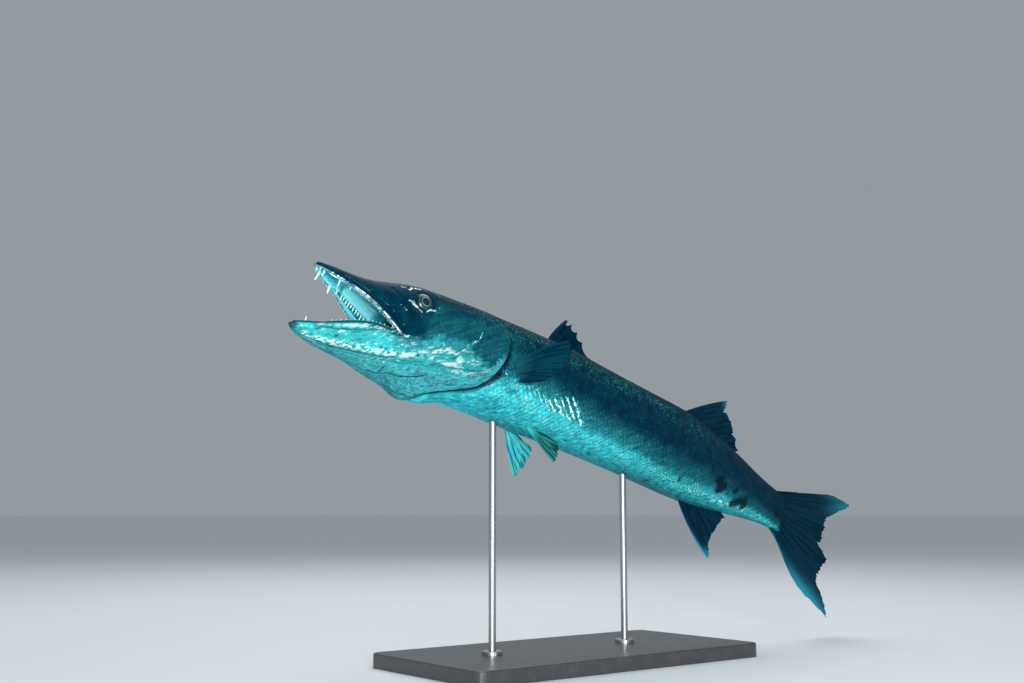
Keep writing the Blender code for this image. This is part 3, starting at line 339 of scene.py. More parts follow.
# Columns between rays, rows, rays for each one listed, whether they branch, depth of the
# notches between them and of the torn places, half thickness at the root and the tip,
# how fast it thins, bow, wave, and pale patches: share of the rays, share of the ray,
# spread both ways and strength.
FIN_FORM = {
    "columns": 14, "rows": 56, "rays": 1, "branched": True, "notch": 0.02, "ragged": 0.03,
    "half": (1.9, 0.24), "taper": 1.3, "bow": (0, 0, 0), "wave": 1.0, "pale": (),
}
FIRST_DORSAL_FORM = {"branched": False, "columns": 26, "notch": 0.17, "ragged": 0.01, "bow": (-2.8, 0, 1.8)}
SECOND_DORSAL_FORM = {
    "notch": 0.03, "ragged": 0.09, "bow": (-1.5, 0, 2.6), "pale": ((0.0, 1.0, 0.14, 0.10, 0.9),),
}
ANAL_FORM = {
    "notch": 0.03, "ragged": 0.05, "bow": (-4.4, 0, -6.7),
    "pale": ((0.0, 0.85, 0.04, 0.35, 0.7), (0.05, 1.0, 0.10, 0.12, 0.8)),
}
TAIL_FORM = {
    "rows": 64, "half": (5.2, 0.26), "taper": 4.0, "ragged": 0.04, "wave": 2.2,
    "pale": ((0.16, 1.0, 0.08, 0.22, 0.55), (0.90, 0.95, 0.07, 0.32, 0.75), (0.97, 0.5, 0.03, 0.4, 0.4)),
}
PAIRED_FORM = {"half": (1.8, 0.2), "rays": 2}
# The right pelvic fin is painted lighter, as if lit, with glinting rays.
PELVICS = (
    ("left", -1, PELVIC_LEFT_TIPS, 0.06, (-1.0, 0, -1.0), (0.0, 0.6, 0.05, 0.6, 0.2), "pelvic_dark"),
    ("right", 1, PELVIC_RIGHT_TIPS, 0.10, (-3.0, 0, -2.0), (0.2, 0.5, 0.5, 0.7, 0.35), "pelvic"),
)

# Teeth. Rows along the jaws: first and last distance back, number on each side, height
# at the front and at the back of the row, half length of the root.
UPPER_EDGE_TEETH = (22, 132, 34, 2.6, 3.4, 1.0)
PALATE_TEETH = (72, 132, 11, 9.5, 7.0, 2.3)
LOWER_EDGE_TEETH = (41, 130, 15, 3.2, 4.2, 1.7)
# Single fangs: distance back, distance to the right, height of the gum, length, half
# length of the root, forward lean in degrees.
UPPER_FANGS = (
    (15, 9.8, 11.5, 16.5, 3.0, 17), (14, -6.2, 9.5, 9.5, 2.3, 10), (7, 7.0, 13.0, 5.0, 1.8, 15),
    (7, -7.0, 13.0, 5.5, 1.8, 15), (43, 21.0, 2.5, 14.0, 2.9, 4), (38, -17.0, 4.5, 12.5, 2.5, 4),
    (58, 22.5, 3.5, 9.0, 2.2, 5), (56, -22.5, 3.5, 9.0, 2.2, 5),
)
LOWER_FANGS = ((8, 9.0, -80.0, 7.5, 2.2, 3), (8, -8.5, -82.0, 14.5, 2.7, -1))
# Thickness of each kind of tooth as a share of its length from front to back.
FANG_BLADE = 0.55
EDGE_BLADE = 0.62
PALATE_BLADE = 0.45
# Tongue: distance back, half width, half height, and how high it lies over the floor.
TONGUE = ((48, 3.0, 1.5), (51, 7.0, 3.0), (60, 10.0, 4.2), (85, 12.0, 5.0), (141, 13.0, 5.0))
TONGUE_RISE = 1.1
# Ridge of the palate's teeth: degrees round the mouth's arch, and its height.
PALATE_RIDGE_ANGLE = 53.0
PALATE_RIDGE = ((6, 0.0), (16, 4.0), (26, 7.5), (46, 8.0), (60, 5.0), (72, 4.0), (120, 3.5), (143, 1.5))

# Camera: place in metres, direction of the view and lens.
CAMERA_PLACE = (-1.38213, -1.57400, 0.25486)
CAMERA_FORWARD = (0.61646, 0.77499, 0.13917)
CAMERA_LENS = 42.19
# Second tints of the rods, the board and the floor, and the sky round them.
STEEL_LIGHT = (0.46, 0.47, 0.48)
DUST = (0.5, 0.5, 0.5)
FLOOR_CLOUD = (0.5, 0.52, 0.54)
SKY = (0.70, 0.78, 0.84)
SKY_STRENGTH = 0.42
FLOOR_RADIUS = 60.0
LIGHT_AIM = (-0.1, 0, 0.45)
# Soft lights: name, place, size in metres, power in watts, colour.
LIGHTS = (
    ("key", (-1.9, -2.9, 0.75), 1.2, 80, (1.0, 1.0, 1.0)),
    ("low_fill", (-1.3, -2.0, 0.12), 0.8, 28, (0.97, 1.0, 1.0)),
    ("top", (0.4, 0.6, 3.0), 2.4, 26, (0.98, 1.0, 1.0)),
    ("back", (1.3, 1.9, 3.2), 2.5, 30, (0.97, 0.99, 1.0)),
)


def placed(points):
    """Metres over the stand for places in the fish's own frame."""
    back = points[..., 0] - BALANCE_X
    cosine, sine = math.cos(PITCH), math.sin(PITCH)
    across = back * cosine + points[..., 2] * sine
    height = BALANCE_HEIGHT - back * sine + points[..., 2] * cosine
    return np.stack((across, points[..., 1], height), -1) * MM


def curve(x, table, column=1):
    """Smooth values at x that pass through a table's column and never overshoot."""
    rows = np.array(table, float)
    xs, ys = rows[:, 0], rows[:, column]
    steps = np.diff(xs)
    rises = np.diff(ys) / steps
    before = 2 * steps[1:] + steps[:-1]
    after = steps[1:] + 2 * steps[:-1]
    alike = rises[:-1] * rises[1:] > 0
    first, second = np.where(alike, rises[:-1], 1.0), np.where(alike, rises[1:], 1.0)
    inner = np.where(alike, (before + after) / (before / first + after / second), 0.0)
    slopes = np.concatenate((rises[:1], inner, rises[-1:]))
    x = np.clip(x, xs[0], xs[-1])
    i = np.clip(np.searchsorted(xs, x, "right") - 1, 0, len(steps) - 1)
    t = (x - xs[i]) / steps[i]
    value = (1 + 2 * t) * (1 - t) ** 2 * ys[i] + t * (1 - t) ** 2 * steps[i] * slopes[i]
    return value + t * t * (3 - 2 * t) * ys[i + 1] + t * t * (t - 1) * steps[i] * slopes[i + 1]


def power(value, exponent):
    """Power of a value's size, with the value's own sign."""
    return np.sign(value) * np.abs(value) ** exponent


def smooth(value, low, high):
    """0 below low, 1 over high, and a smooth rise between them."""
    t = np.clip((value - low) / (high - low), 0, 1)
    return t * t * (3 - 2 * t)


def bell(distance, width):
    """1 at no distance, falling off over a width on both sides."""
    return np.exp(-(distance / width) ** 2)


def noise(points, size, seed):
    """Smooth random values from -1 to 1 that change over a size, the same at each run."""
    scaled = points / size
    cell = np.floor(scaled).astype(np.int64)
    part = scaled - cell
    part = part * part * (3 - 2 * part)
    total = 0.0
    for corner in np.ndindex(2, 2, 2):
        near_cell = cell + np.array(corner)
        mixed = near_cell @ np.array((374761393, 668265263, 1274126177)) + seed * 974634777
        mixed = (mixed ^ (mixed >> 13)) & 0xFFFFFFFF
        mixed = (mixed * 1103515245 + 12345) & 0xFFFFFFFF
        value = ((mixed ^ (mixed >> 16)) & 0xFFFF) / 32767.5 - 1
        weight = np.prod(np.where(corner, part, 1 - part), -1)
        total = total + weight * value
    return total


def is_low(angle, low):
    """Whether each place is on the lower half, unless the caller says which jaw it is on."""
    return np.abs(angle) > 90 if low is None else low


def outline(x, angle, low=None):
    """Places on the smooth body, or on the jaws in front of the mouth's corner."""
    low = is_low(angle, low)
    turn = np.radians(angle)
    peak, edge, half = (np.where(low, curve(x, LOWER, k), curve(x, UPPER, k)) for k in (1, 2, 3))
    root = 2 / np.where(low, curve(x, SQUARE_LOW), curve(x, SQUARE_HIGH))
    rise = np.where(low, -1, 1) * np.cos(turn)
    y = half * power(np.sin(turn), root)
    hang = curve(x, POUCH) * np.minimum(np.cos(turn), 0) ** POUCH_POWER
    z = edge + (peak - edge) * power(rise, root) - hang
    return np.stack(np.broadcast_arrays(x, y, z), -1).astype(float)


def outward(x, angle, low=None):
    """Directions square to the smooth body."""
    low = is_low(angle, low)
    along = outline(x + 1, angle, low) - outline(x - 1, angle, low)
    around = outline(x, angle + 1.5, low) - outline(x, angle - 1.5, low)
    normal = np.cross(along, around)
    return normal / np.maximum(np.linalg.norm(normal, axis=-1, keepdims=True), 1e-9)


def bar_marks(x, angle):
    """Tenths of the way over the bars of each set, and 1 inside of it."""
    a = np.abs(angle)
    marks = np.zeros((len(x), 4))
    for count, strength, first, last in BAR_SETS:
        ends = []
        for line in (first, last):
            table = np.array(line, float)
            slope = (table[-1] - table[0])[0] / (table[-1] - table[0])[1]
            inner = np.interp(a, table[:, 1], table[:, 0])
            ends.append(inner + slope * (a - np.clip(a, table[0, 1], table[-1, 1])))
        way = (count - 1) * (x - ends[0]) / (ends[1] - ends[0])
        share = np.clip(way / (count - 1), 0, 1)
        top = first[0][1] + (last[0][1] - first[0][1]) * share
        low = first[-1][1] + (last[-1][1] - first[-1][1]) * share
        inside = smooth(way, -0.5, -0.3) * (1 - smooth(way, count - 0.7, count - 0.5))
        inside = inside * smooth(a, top - 2, top + 1) * (1 - smooth(a, low - 2, low + 2))
        marks[:, 0] = np.where(inside > 0, (way + 0.75) / 10, marks[:, 0])
        marks[:, 1] = np.maximum(marks[:, 1], strength * inside)
    return marks


def distance_to(points, line):
    """Distance from each place to a line over the right side of the skin."""
    marks = np.array(line, float)
    steps = np.linspace(0, len(marks) - 1, 3 * len(marks) - 2)
    path = outline(*(np.interp(steps, range(len(marks)), marks[:, k]) for k in (0, 1)))
    best = np.full(len(points), 99.0)
    close = np.abs(points[:, 0] - marks[:, 0].mean()) < np.ptp(marks[:, 0]) / 2 + 30
    places = points[close]
    found = best[close]
    for start, end in zip(path, path[1:]):
        step = end - start
        share = np.clip((places - start) @ step / (step @ step), 0, 1)
        found = np.minimum(found, np.linalg.norm(places - start - share[:, None] * step, axis=1))
    best[close] = found
    return best


def strongest(points, lines):
    """The strongest of some lines at each place."""
    total = np.zeros(len(points))
    for width, strength, line in lines:
        total = np.maximum(total, strength * bell(distance_to(points, line), width))
    return total


def gill_distance(x, angle):
    """Distance behind the free edge of the gill cover, negative on the cover."""
    a = np.abs(angle)
    slope = (curve(a + 1, GILL_EDGE) - curve(a - 1, GILL_EDGE)) / (2 * MM_PER_DEGREE)
    return (x - curve(a, GILL_EDGE)) / np.sqrt(1 + slope ** 2)


def gill_fade(angle):
    """1 where the gill cover is free, 0 over the nape."""
    return smooth(np.abs(angle), 17, 38)


def membrane_share(x, angle):
    """1 on the folded membrane along the cover's lower free edge."""
    a = np.abs(angle)
    behind = gill_distance(x, angle)
    wide = 6 + 26 * smooth(a, 92, 128)
    return smooth(a, 84, 96) * smooth(behind, -wide - 4, -wide) * (behind < 0.5) * smooth(x, 168, 205)


def throat_share(x, angle):
    """1 on the soft skin under the lower jaw and between the gill membranes."""
    a = np.abs(angle)
    edge = curve(x, THROAT_EDGE)
    return smooth(a, edge, edge + 7) * smooth(x, 8, 30) * (1 - smooth(gill_distance(x, angle), -2, 2))


def creases(x, angle):
    """Thin folds of the gill membrane and the throat, from 0 to 1."""
    a = np.abs(angle)
    arc = a * MM_PER_DEGREE
    behind = gill_distance(x, angle)
    side = np.sign(angle) * 40
    flow = np.stack((behind, arc / 9 + side, 0 * arc), -1)
    ribbed = bell(noise(flow, 4.2, 11), 0.24) + 0.6 * bell(noise(flow, 2.3, 12), 0.25)
    along = np.stack((x / 7, arc + side, 0 * arc), -1)
    long_folds = bell(noise(along, 5.2, 13), 0.2) + 0.5 * bell(noise(along, 2.8, 14), 0.2)
    cross = np.stack((x, arc / 3 + side, 0 * arc), -1)
    cross_folds = bell(noise(cross, 9.0, 15), 0.16) * smooth(x, 110, 160)
    membrane = membrane_share(x, angle)
    throat = throat_share(x, angle) * (1 - membrane)
    return np.clip(membrane * ribbed + throat * (long_folds + cross_folds), 0, 1)


def mirrored(points):
    """The same places with the left side turned over on the right one."""
    return points * np.array((1, 0, 1)) + np.abs(points) * np.array((0, 1, 0))


def eye_point(side):
    """Place of the eye's middle on the skin, and the direction out of it."""
    angle = np.array(side * EYE_ANGLE)
    return outline(np.array(EYE_X), angle), outward(np.array(EYE_X), angle)


def eye_distance(points):
    """Distance of places of the right side from the middle of its eye."""
    return np.linalg.norm(points - eye_point(1)[0], axis=1)


def nostril_distances(points):
    """Distances of places of the right side from each of its nostrils."""
    for x, angle in NOSTRILS:
        yield np.linalg.norm(points - outline(np.array(x), np.array(angle)), axis=1)


def lip_forms(x, points, low):
    """Fold of the lips: bead along the edge, grooves and the maxilla over it."""
    share = np.clip(x / MOUTH_CORNER, 0, 1)
    over = points[:, 2] - curve(x, UPPER, 2)
    height = 3.0 + 5.0 * share
    second = curve(x, ((0, 5), (40, 8), (79, 11.5), (122, 17), (150, 15)))
    upper = (0.3 + 0.8 * share) * bell(over - 0.4 * height, 0.45 * height)
    upper -= (0.2 + 0.8 * share) * bell(over - height, 1.2)
    upper += (0.2 + 0.9 * share) * bell(over - (height + second) / 2, 0.45 * (second - height) + 1)
    upper -= (0.2 + 0.7 * share) * bell(over - second - 1.2, 1.3)
    upper *= (1 - smooth(x, 150, 168)) * (over > -0.5)
    under = curve(x, LOWER, 2) - points[:, 2]
    lower = (0.4 + 0.5 * share) * bell(under - 2.2 - share, 2.0 + share) * (1 - smooth(x, 135, 150))
    return np.where(low, lower, upper)


def relief(x, angle, low=None):
    """How far the skin's own forms stand over the smooth outline."""
    low = is_low(angle, low)
    points = mirrored(outline(x, angle, low))
    total = lip_forms(x, points, low) - 1.3 * strongest(points, FOLD_LINES)
    for width, height, line in RELIEF_LINES:
        total += height * bell(distance_to(points, line), width)
    away = eye_distance(points)
    total += bell(away - EYE_RIM, 1.2) + bell(away, 30) + 0.7 * bell(away - EYE_FOLD, 1.6)
    total -= 0.8 * bell(away - EYE_GROOVE, 1.3)
    socket = total * (away > EYE_OPENING - 1.2) - 6 * smooth(EYE_OPENING - away, 0, 2.0)
    total = np.where(away < EYE_OPENING, socket, total)
    for pit in nostril_distances(points):
        total += 0.6 * bell(pit - 2.7, 0.9) - 2.4 * bell(pit, 1.5)
    total += 0.9 * strongest(points, [(2.6 * width, depth, line) for width, depth, line in FOLD_LINES])
    total -= 0.8 * creases(x, angle)
    lumps = noise(points, 19.0, 21) * 0.35 + noise(points, 6.0, 22) * 0.12
    return total + lumps * (1 - smooth(gill_distance(x, angle), 0, 30))


def cover_height(x, angle):
    """Height of the gill cover's plate in front of its free edge."""
    behind = gill_distance(x, angle)
    return 2.4 * (1 - smooth(-behind, 18, 75)) * (behind < 0) * gill_fade(angle)


def coat_share(x, angle):
    """1 where full scales cover the skin, less where small ones are sunk in it."""
    a = np.abs(angle)
    body = smooth(gill_distance(x, angle), 4, 14) * np.maximum(gill_fade(angle), smooth(x, 290, 320))
    nape = smooth(x, 216, 262) * (1 - smooth(a, 34, 50))
    return np.clip(np.maximum(body, nape), 0, 1)


def skin_folds(x, angle, low=None):
    """Share of fine wrinkles and of foil-like streaks on the head's skin."""
    low = is_low(angle, low)
    a = np.abs(angle)
    wrinkled = np.maximum(throat_share(x, angle), membrane_share(x, angle))
    jaw = (low | (a > curve(x, SILVER_LINE))) * (1 - wrinkled) * (gill_distance(x, angle) < 0)
    return np.stack((wrinkled, jaw * np.ones(len(x)), 0 * x, 0 * x), -1)


def markings(x, angle, low=None):
    """Silver, painted glint, painted shade with the real blotches, and green of the skin at places on it,
    each from 0 to 1.
    """
    low = is_low(angle, low)
    a = np.abs(angle)
    places = outline(x, angle, low)
    points = mirrored(places)
    broad, fine = noise(places, 30.0, 31), noise(places, 6.5, 32)
    line = curve(x, SILVER_LINE)
    behind = gill_distance(x, angle)
    head = 1 - smooth(x, 300, 400)
    border = a + 2.5 * broad + (1 + head) * fine
    silver = (1 - 0.32 * (1 - head)) * smooth(border, line - 9, line + 5)
    silver += 0.32 * (1 - head) * smooth(border, line - 38, line - 4)
    silver += 0.10 * head * smooth(a, 40, 72) * smooth(x, 165, 200) * (1 - smooth(border, line - 9, line))
    # Painted shade darkens the underside; from 600 mm back the silver is also duller.
    silver = np.where(low | (x > MOUTH_CORNER), silver, 0.0) * (1 - 0.45 * smooth(a, 150, 178) * (1 - head))
    silver = silver * (1 - 0.45 * smooth(x, 600, 760))
    membrane = membrane_share(x, angle)
    throat = np.maximum(throat_share(x, angle), membrane)
    silver = np.maximum(silver * (1 - 0.15 * throat), 0.85 * membrane)
    # Painted highlights: the glint lines, a bright band along the lower flank and glints on the eye's lids.
    glint = strongest(points, GLINT_LINES) * (0.9 + 0.3 * fine)
    belly = bell(a - line - 12, 12) * smooth(x, 290, 330) * (0.75 + 0.25 * smooth(x, 780, 900))
    glint = np.maximum(glint, belly * (0.70 - 0.12 * smooth(x, 780, 980) + 0.5 * fine))
    away = eye_distance(points)
    lid_glints = 0.12 * bell(away - EYE_RIM - 0.2, 0.8) + 0.06 * bell(away - EYE_FOLD + 0.4, 1.2)
    glint = np.maximum(glint, lid_glints)
    shifted = mirrored(outline(x + np.where(angle > 0, 12.0, 0.0) * (x > 700), angle, low))
    shifted = shifted + 2.2 * noise(places, 5.0, 34)[:, None]
    wavy = points + 0.7 * noise(places, 3.5, 35)[:, None]
    # Painted shade in the gill slit, behind the cover's free edge.
    dark = 2.5 + 6.5 * bell(a - 106, 20)
    slit = (behind > -0.6) * (1 - smooth(behind, dark, dark + 4)) * gill_fade(angle)
    rim = bell(curve(x, LOWER, 2) - points[:, 2], 2.5) * (1 - smooth(x, 112, 128)) * low
    # Painted shade in creases, folds, the grooves round the eye, the nostrils and the gill slit, with the
    # fish's own blotches from SHADE_LINES and the dark lip rim and chin tip.
    shade = np.maximum.reduce((
        strongest(shifted, SHADE_LINES),
        0.4 * creases(x, angle),
        0.9 * strongest(wavy, FOLD_LINES) * (behind < 0),
        0.8 * bell(away - EYE_GROOVE, 1.2),
        0.8 * bell(away - EYE_OPENING + 0.2, 1.0),
        *(bell(pit, 2.1) for pit in nostril_distances(points)),
        slit * (low | (x > MOUTH_CORNER)),
        0.8 * smooth(-x, -2, 8) * low,
        rim * (1.1 + 0.4 * fine),
    ))
    green = bell(a - 52 - 8 * smooth(x, 600, 850), 15) * smooth(x, 262, 300) * (1 - smooth(x, 650, 1000))
    green = green * np.clip(0.5 + 0.8 * noise(places, 9.0, 38), 0, 1)
    green = np.maximum(green, bell(a - 117, 15) * low * (1 - smooth(x, 90, 170)) * 0.8)
    return np.clip(np.stack((silver, glint, shade, green), -1), 0, 1)


def share_table():
    """Angles at even shares of the way round the skin, and half its girth, along it."""
    xs = np.linspace(MOUTH_CORNER, SKIN_END, GIRTH_ROWS)
    angles = np.linspace(0, 180, GIRTH_STEPS)
    shares = np.linspace(0, 1, SHARE_STEPS)
    rows = []
    girths = []
    for x in xs:
        ring = outline(np.full(GIRTH_STEPS, x), angles)
        length = np.concatenate(((0,), np.cumsum(np.linalg.norm(np.diff(ring, axis=0), axis=1))))
        rows.append(np.interp(shares, length / length[-1], angles))
        girths.append(length[-1])
    return xs, shares, np.array(rows), np.array(girths)


SHARE_XS, SHARES, SHARE_ANGLES, HALF_GIRTHS = share_table()


def half_girth(x):
    """Half the way round the body."""
    return np.interp(x, SHARE_XS, HALF_GIRTHS)


def angle_at(x, share):
    """Angle at a signed share of the way from the ridge round to the belly's middle."""
    size = np.abs(share)
    over = size > 1
    size = np.where(over, 2 - size, size)
    column = np.clip(size, 0, 1) * (len(SHARES) - 1)
    row = np.clip((x - SHARE_XS[0]) / (SHARE_XS[1] - SHARE_XS[0]), 0, len(SHARE_XS) - 1.001)
    r, c = row.astype(int), np.minimum(column.astype(int), len(SHARES) - 2)
    fr, fc = row - r, column - c
    table = SHARE_ANGLES
    angle = (1 - fr) * ((1 - fc) * table[r, c] + fc * table[r, c + 1])
    angle = angle + fr * ((1 - fc) * table[r + 1, c] + fc * table[r + 1, c + 1])
    return np.where(share < 0, -1, 1) * np.where(over, 360 - angle, angle)


def read_points(mesh):
    """Places of a mesh's vertices."""
    flat = np.zeros(len(mesh.vertices) * 3)
    mesh.vertices.foreach_get("co", flat)
    return flat.reshape(-1, 3)


def mesh_from(bm, name):
    """New mesh of a bmesh, which is freed."""
    mesh = bpy.data.meshes.new(name)
    bm.to_mesh(mesh)
    bm.free()
    return mesh


def grid(rows, columns):
    """Flat grid, each place's share of the way along its rows and columns, and its row."""
    bm = bmesh.new()
    bmesh.ops.create_grid(bm, x_segments=columns - 1, y_segments=rows - 1, size=0.5)
    mesh = mesh_from(bm, "grid")
    flat = read_points(mesh)
    along = flat[:, 1] + 0.5
    return mesh, along, flat[:, 0] + 0.5, np.round(along * (rows - 1))


def store(mesh, name, values):
    """Keep up to four values of each vertex as a colour attribute."""
    channels = np.zeros((len(mesh.vertices), 4))
    channels[:, :values.shape[-1]] = values.reshape(len(channels), -1)
    mesh.attributes.new(name, "FLOAT_COLOR", "POINT").data.foreach_set("color", channels.ravel())


def shape(mesh, points, marks, form=None):
    """Move a mesh's vertices to their places and store the marks of each."""
    mesh.vertices.foreach_set("co", placed(points).ravel())
    store(mesh, "marks", marks)
    if form is not None:
        store(mesh, "form", form)
    return mesh


def linked(name, data):
    """New object in the scene."""
    obj = bpy.data.objects.new(name, data)
    bpy.context.scene.collection.objects.link(obj)
    return obj


def aimed(name, data, place, direction):
    """New lamp or camera at a place, pointing in a direction."""
    obj = linked(name, data)
    obj.location = place
    obj.rotation_euler = Vector(direction).to_track_quat("-Z", "Y").to_euler()
    return obj


def piece(name, meshes, material, nodes=(), outside=None):
    """One object of several meshes, merged where they meet, in place of CAD nodes."""
    bm = bmesh.new()
    for mesh in meshes:
        bm.from_mesh(mesh)
        bpy.data.meshes.remove(mesh)
    bmesh.ops.remove_doubles(bm, verts=bm.verts, dist=0.01 * MM)
    bmesh.ops.dissolve_degenerate(bm, edges=bm.edges, dist=0.002 * MM)
    bmesh.ops.recalc_face_normals(bm, faces=bm.faces)
    if outside is not None:
        face = min(bm.faces, key=lambda f: (f.calc_center_median() - outside[0]).length)
        if face.normal.dot(outside[1]) < 0:
            bmesh.ops.reverse_faces(bm, faces=bm.faces)
    return finished(name, mesh_from(bm, name), material, nodes)


def finished(name, mesh, material, nodes=()):
    """Smooth object of a mesh, riding on the body, in place of the CAD nodes named."""
    mesh.shade_smooth()
    mesh.materials.append(material)
    obj = linked(name, mesh)
    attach(obj, BODY_NAME)
    if nodes:
        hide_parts(*nodes)
    return obj


def repeated(name, template, points):
    """One mesh of many copies of a template, from the places of each copy's vertices."""
    faces = np.array([tuple(p.vertices) for p in template.polygons])
    copies, count = points.shape[:2]
    shifted = faces[None] + count * np.arange(copies)[:, None, None]
    mesh = bpy.data.meshes.new(name)
    mesh.from_pydata(placed(points.reshape(-1, 3)), [], shifted.reshape(-1, 3))
    return mesh


def triangulated(bm, name):
    """New mesh of a bmesh, all in triangles."""
    bmesh.ops.triangulate(bm, faces=bm.faces)
    return mesh_from(bm, name)


class Finish:
    """A material being made: its tree, its shader and short calls for its nodes."""

    def __init__(self, name, **sockets):
        self.material = bpy.data.materials.new(name)
        self.material.use_nodes = True
        self.tree = self.material.node_tree
        self.shader = self.tree.nodes["Principled BSDF"]
        for key, value in sockets.items():
            self.shader.inputs[key.replace("_", " ")].default_value = value

    def put(self, value, socket):
        """Link a node's output to a socket, or set the socket to a value."""
        if isinstance(value, bpy.types.NodeSocket):
            self.tree.links.new(value, socket)
        else:
            socket.default_value = (*value[:3], 1.0) if socket.type == "RGBA" else value

    def give(self, name, value):
        """Set or link one input of the shader."""
        self.put(value, self.shader.inputs[name])
        return self

    def done(self, base, rough=None, normal=None):
        """The material, with its colour, roughness and fine surface."""
        for name, value in (("Base Color", base), ("Roughness", rough), ("Normal", normal)):
            if value is not None:
                self.give(name, value)
        return self.material

    def node(self, kind, inputs, output=0, **settings):
        """One output of a new node."""
        made = self.tree.nodes.new("ShaderNode" + kind)
        for key, value in settings.items():
            setattr(made, key, value)
        for key, value in inputs.items():
            self.put(value, made.inputs[key])
        return made.outputs[output]

    def math(self, operation, *values, clamp=False):
        """Result of a sum on values or outputs."""
        return self.node("Math", dict(enumerate(values)), operation=operation, use_clamp=clamp)

    def times(self, *values, clamp=False):
        """Product of two values."""
        return self.math("MULTIPLY", *values, clamp=clamp)

    def most(self, *values):
        """Larger of two values."""
        return self.math("MAXIMUM", *values)

    def scaled(self, value, gain, start):
        """Value times a gain, over a start."""
        return self.math("MULTIPLY_ADD", value, gain, start)

    def mix(self, share, first, second, blend="MIX"):
        """Colour between two, by a share."""
        return self.node("Mix", {0: share, 6: first, 7: second}, 2, data_type="RGBA", blend_type=blend)

    def marks(self, name="marks"):
        """The four channels of an attribute."""
        made = self.tree.nodes.new("ShaderNodeAttribute")
        made.attribute_name = name
        parts = self.tree.nodes.new("ShaderNodeSeparateColor")
        self.tree.links.new(made.outputs["Color"], parts.inputs[0])
        return [*parts.outputs, made.outputs["Alpha"]]

    def place(self, stretch=(1, 1, 1), turn=0.0):
        """Object coordinates, turned about the fish's cross axis and then stretched."""
        where = self.node("TexCoord", {}, 3)
        if turn:
            where = self.node("Mapping", {0: where, 2: (0, turn, 0)})
        return self.node("Mapping", {0: where, 3: stretch})

    def noise(self, scale, detail=3.0, rough=0.55, where=None):
        """Cloudy value over the object."""
        inputs = {"Vector": where or self.place(), "Scale": scale, "Detail": detail, "Roughness": rough}
        return self.node("TexNoise", inputs)

    def steps(self, value, *stops):
        """Colour ramp over a value, with stops of place and grey level."""
        made = self.tree.nodes.new("ShaderNodeValToRGB")
        ramp = made.color_ramp
        while len(ramp.elements) < len(stops):
            ramp.elements.new(0.5)
        for element, (place, level) in zip(ramp.elements, stops):
            element.position = place
            element.color = (level, level, level, 1)
        self.put(value, made.inputs[0])
        return made.outputs[0]

    def bump(self, height, distance, strength):
        """Fine relief from a height, over a distance in mm."""
        return self.node("Bump", {"Height": height, "Distance": distance * MM, "Strength": strength})


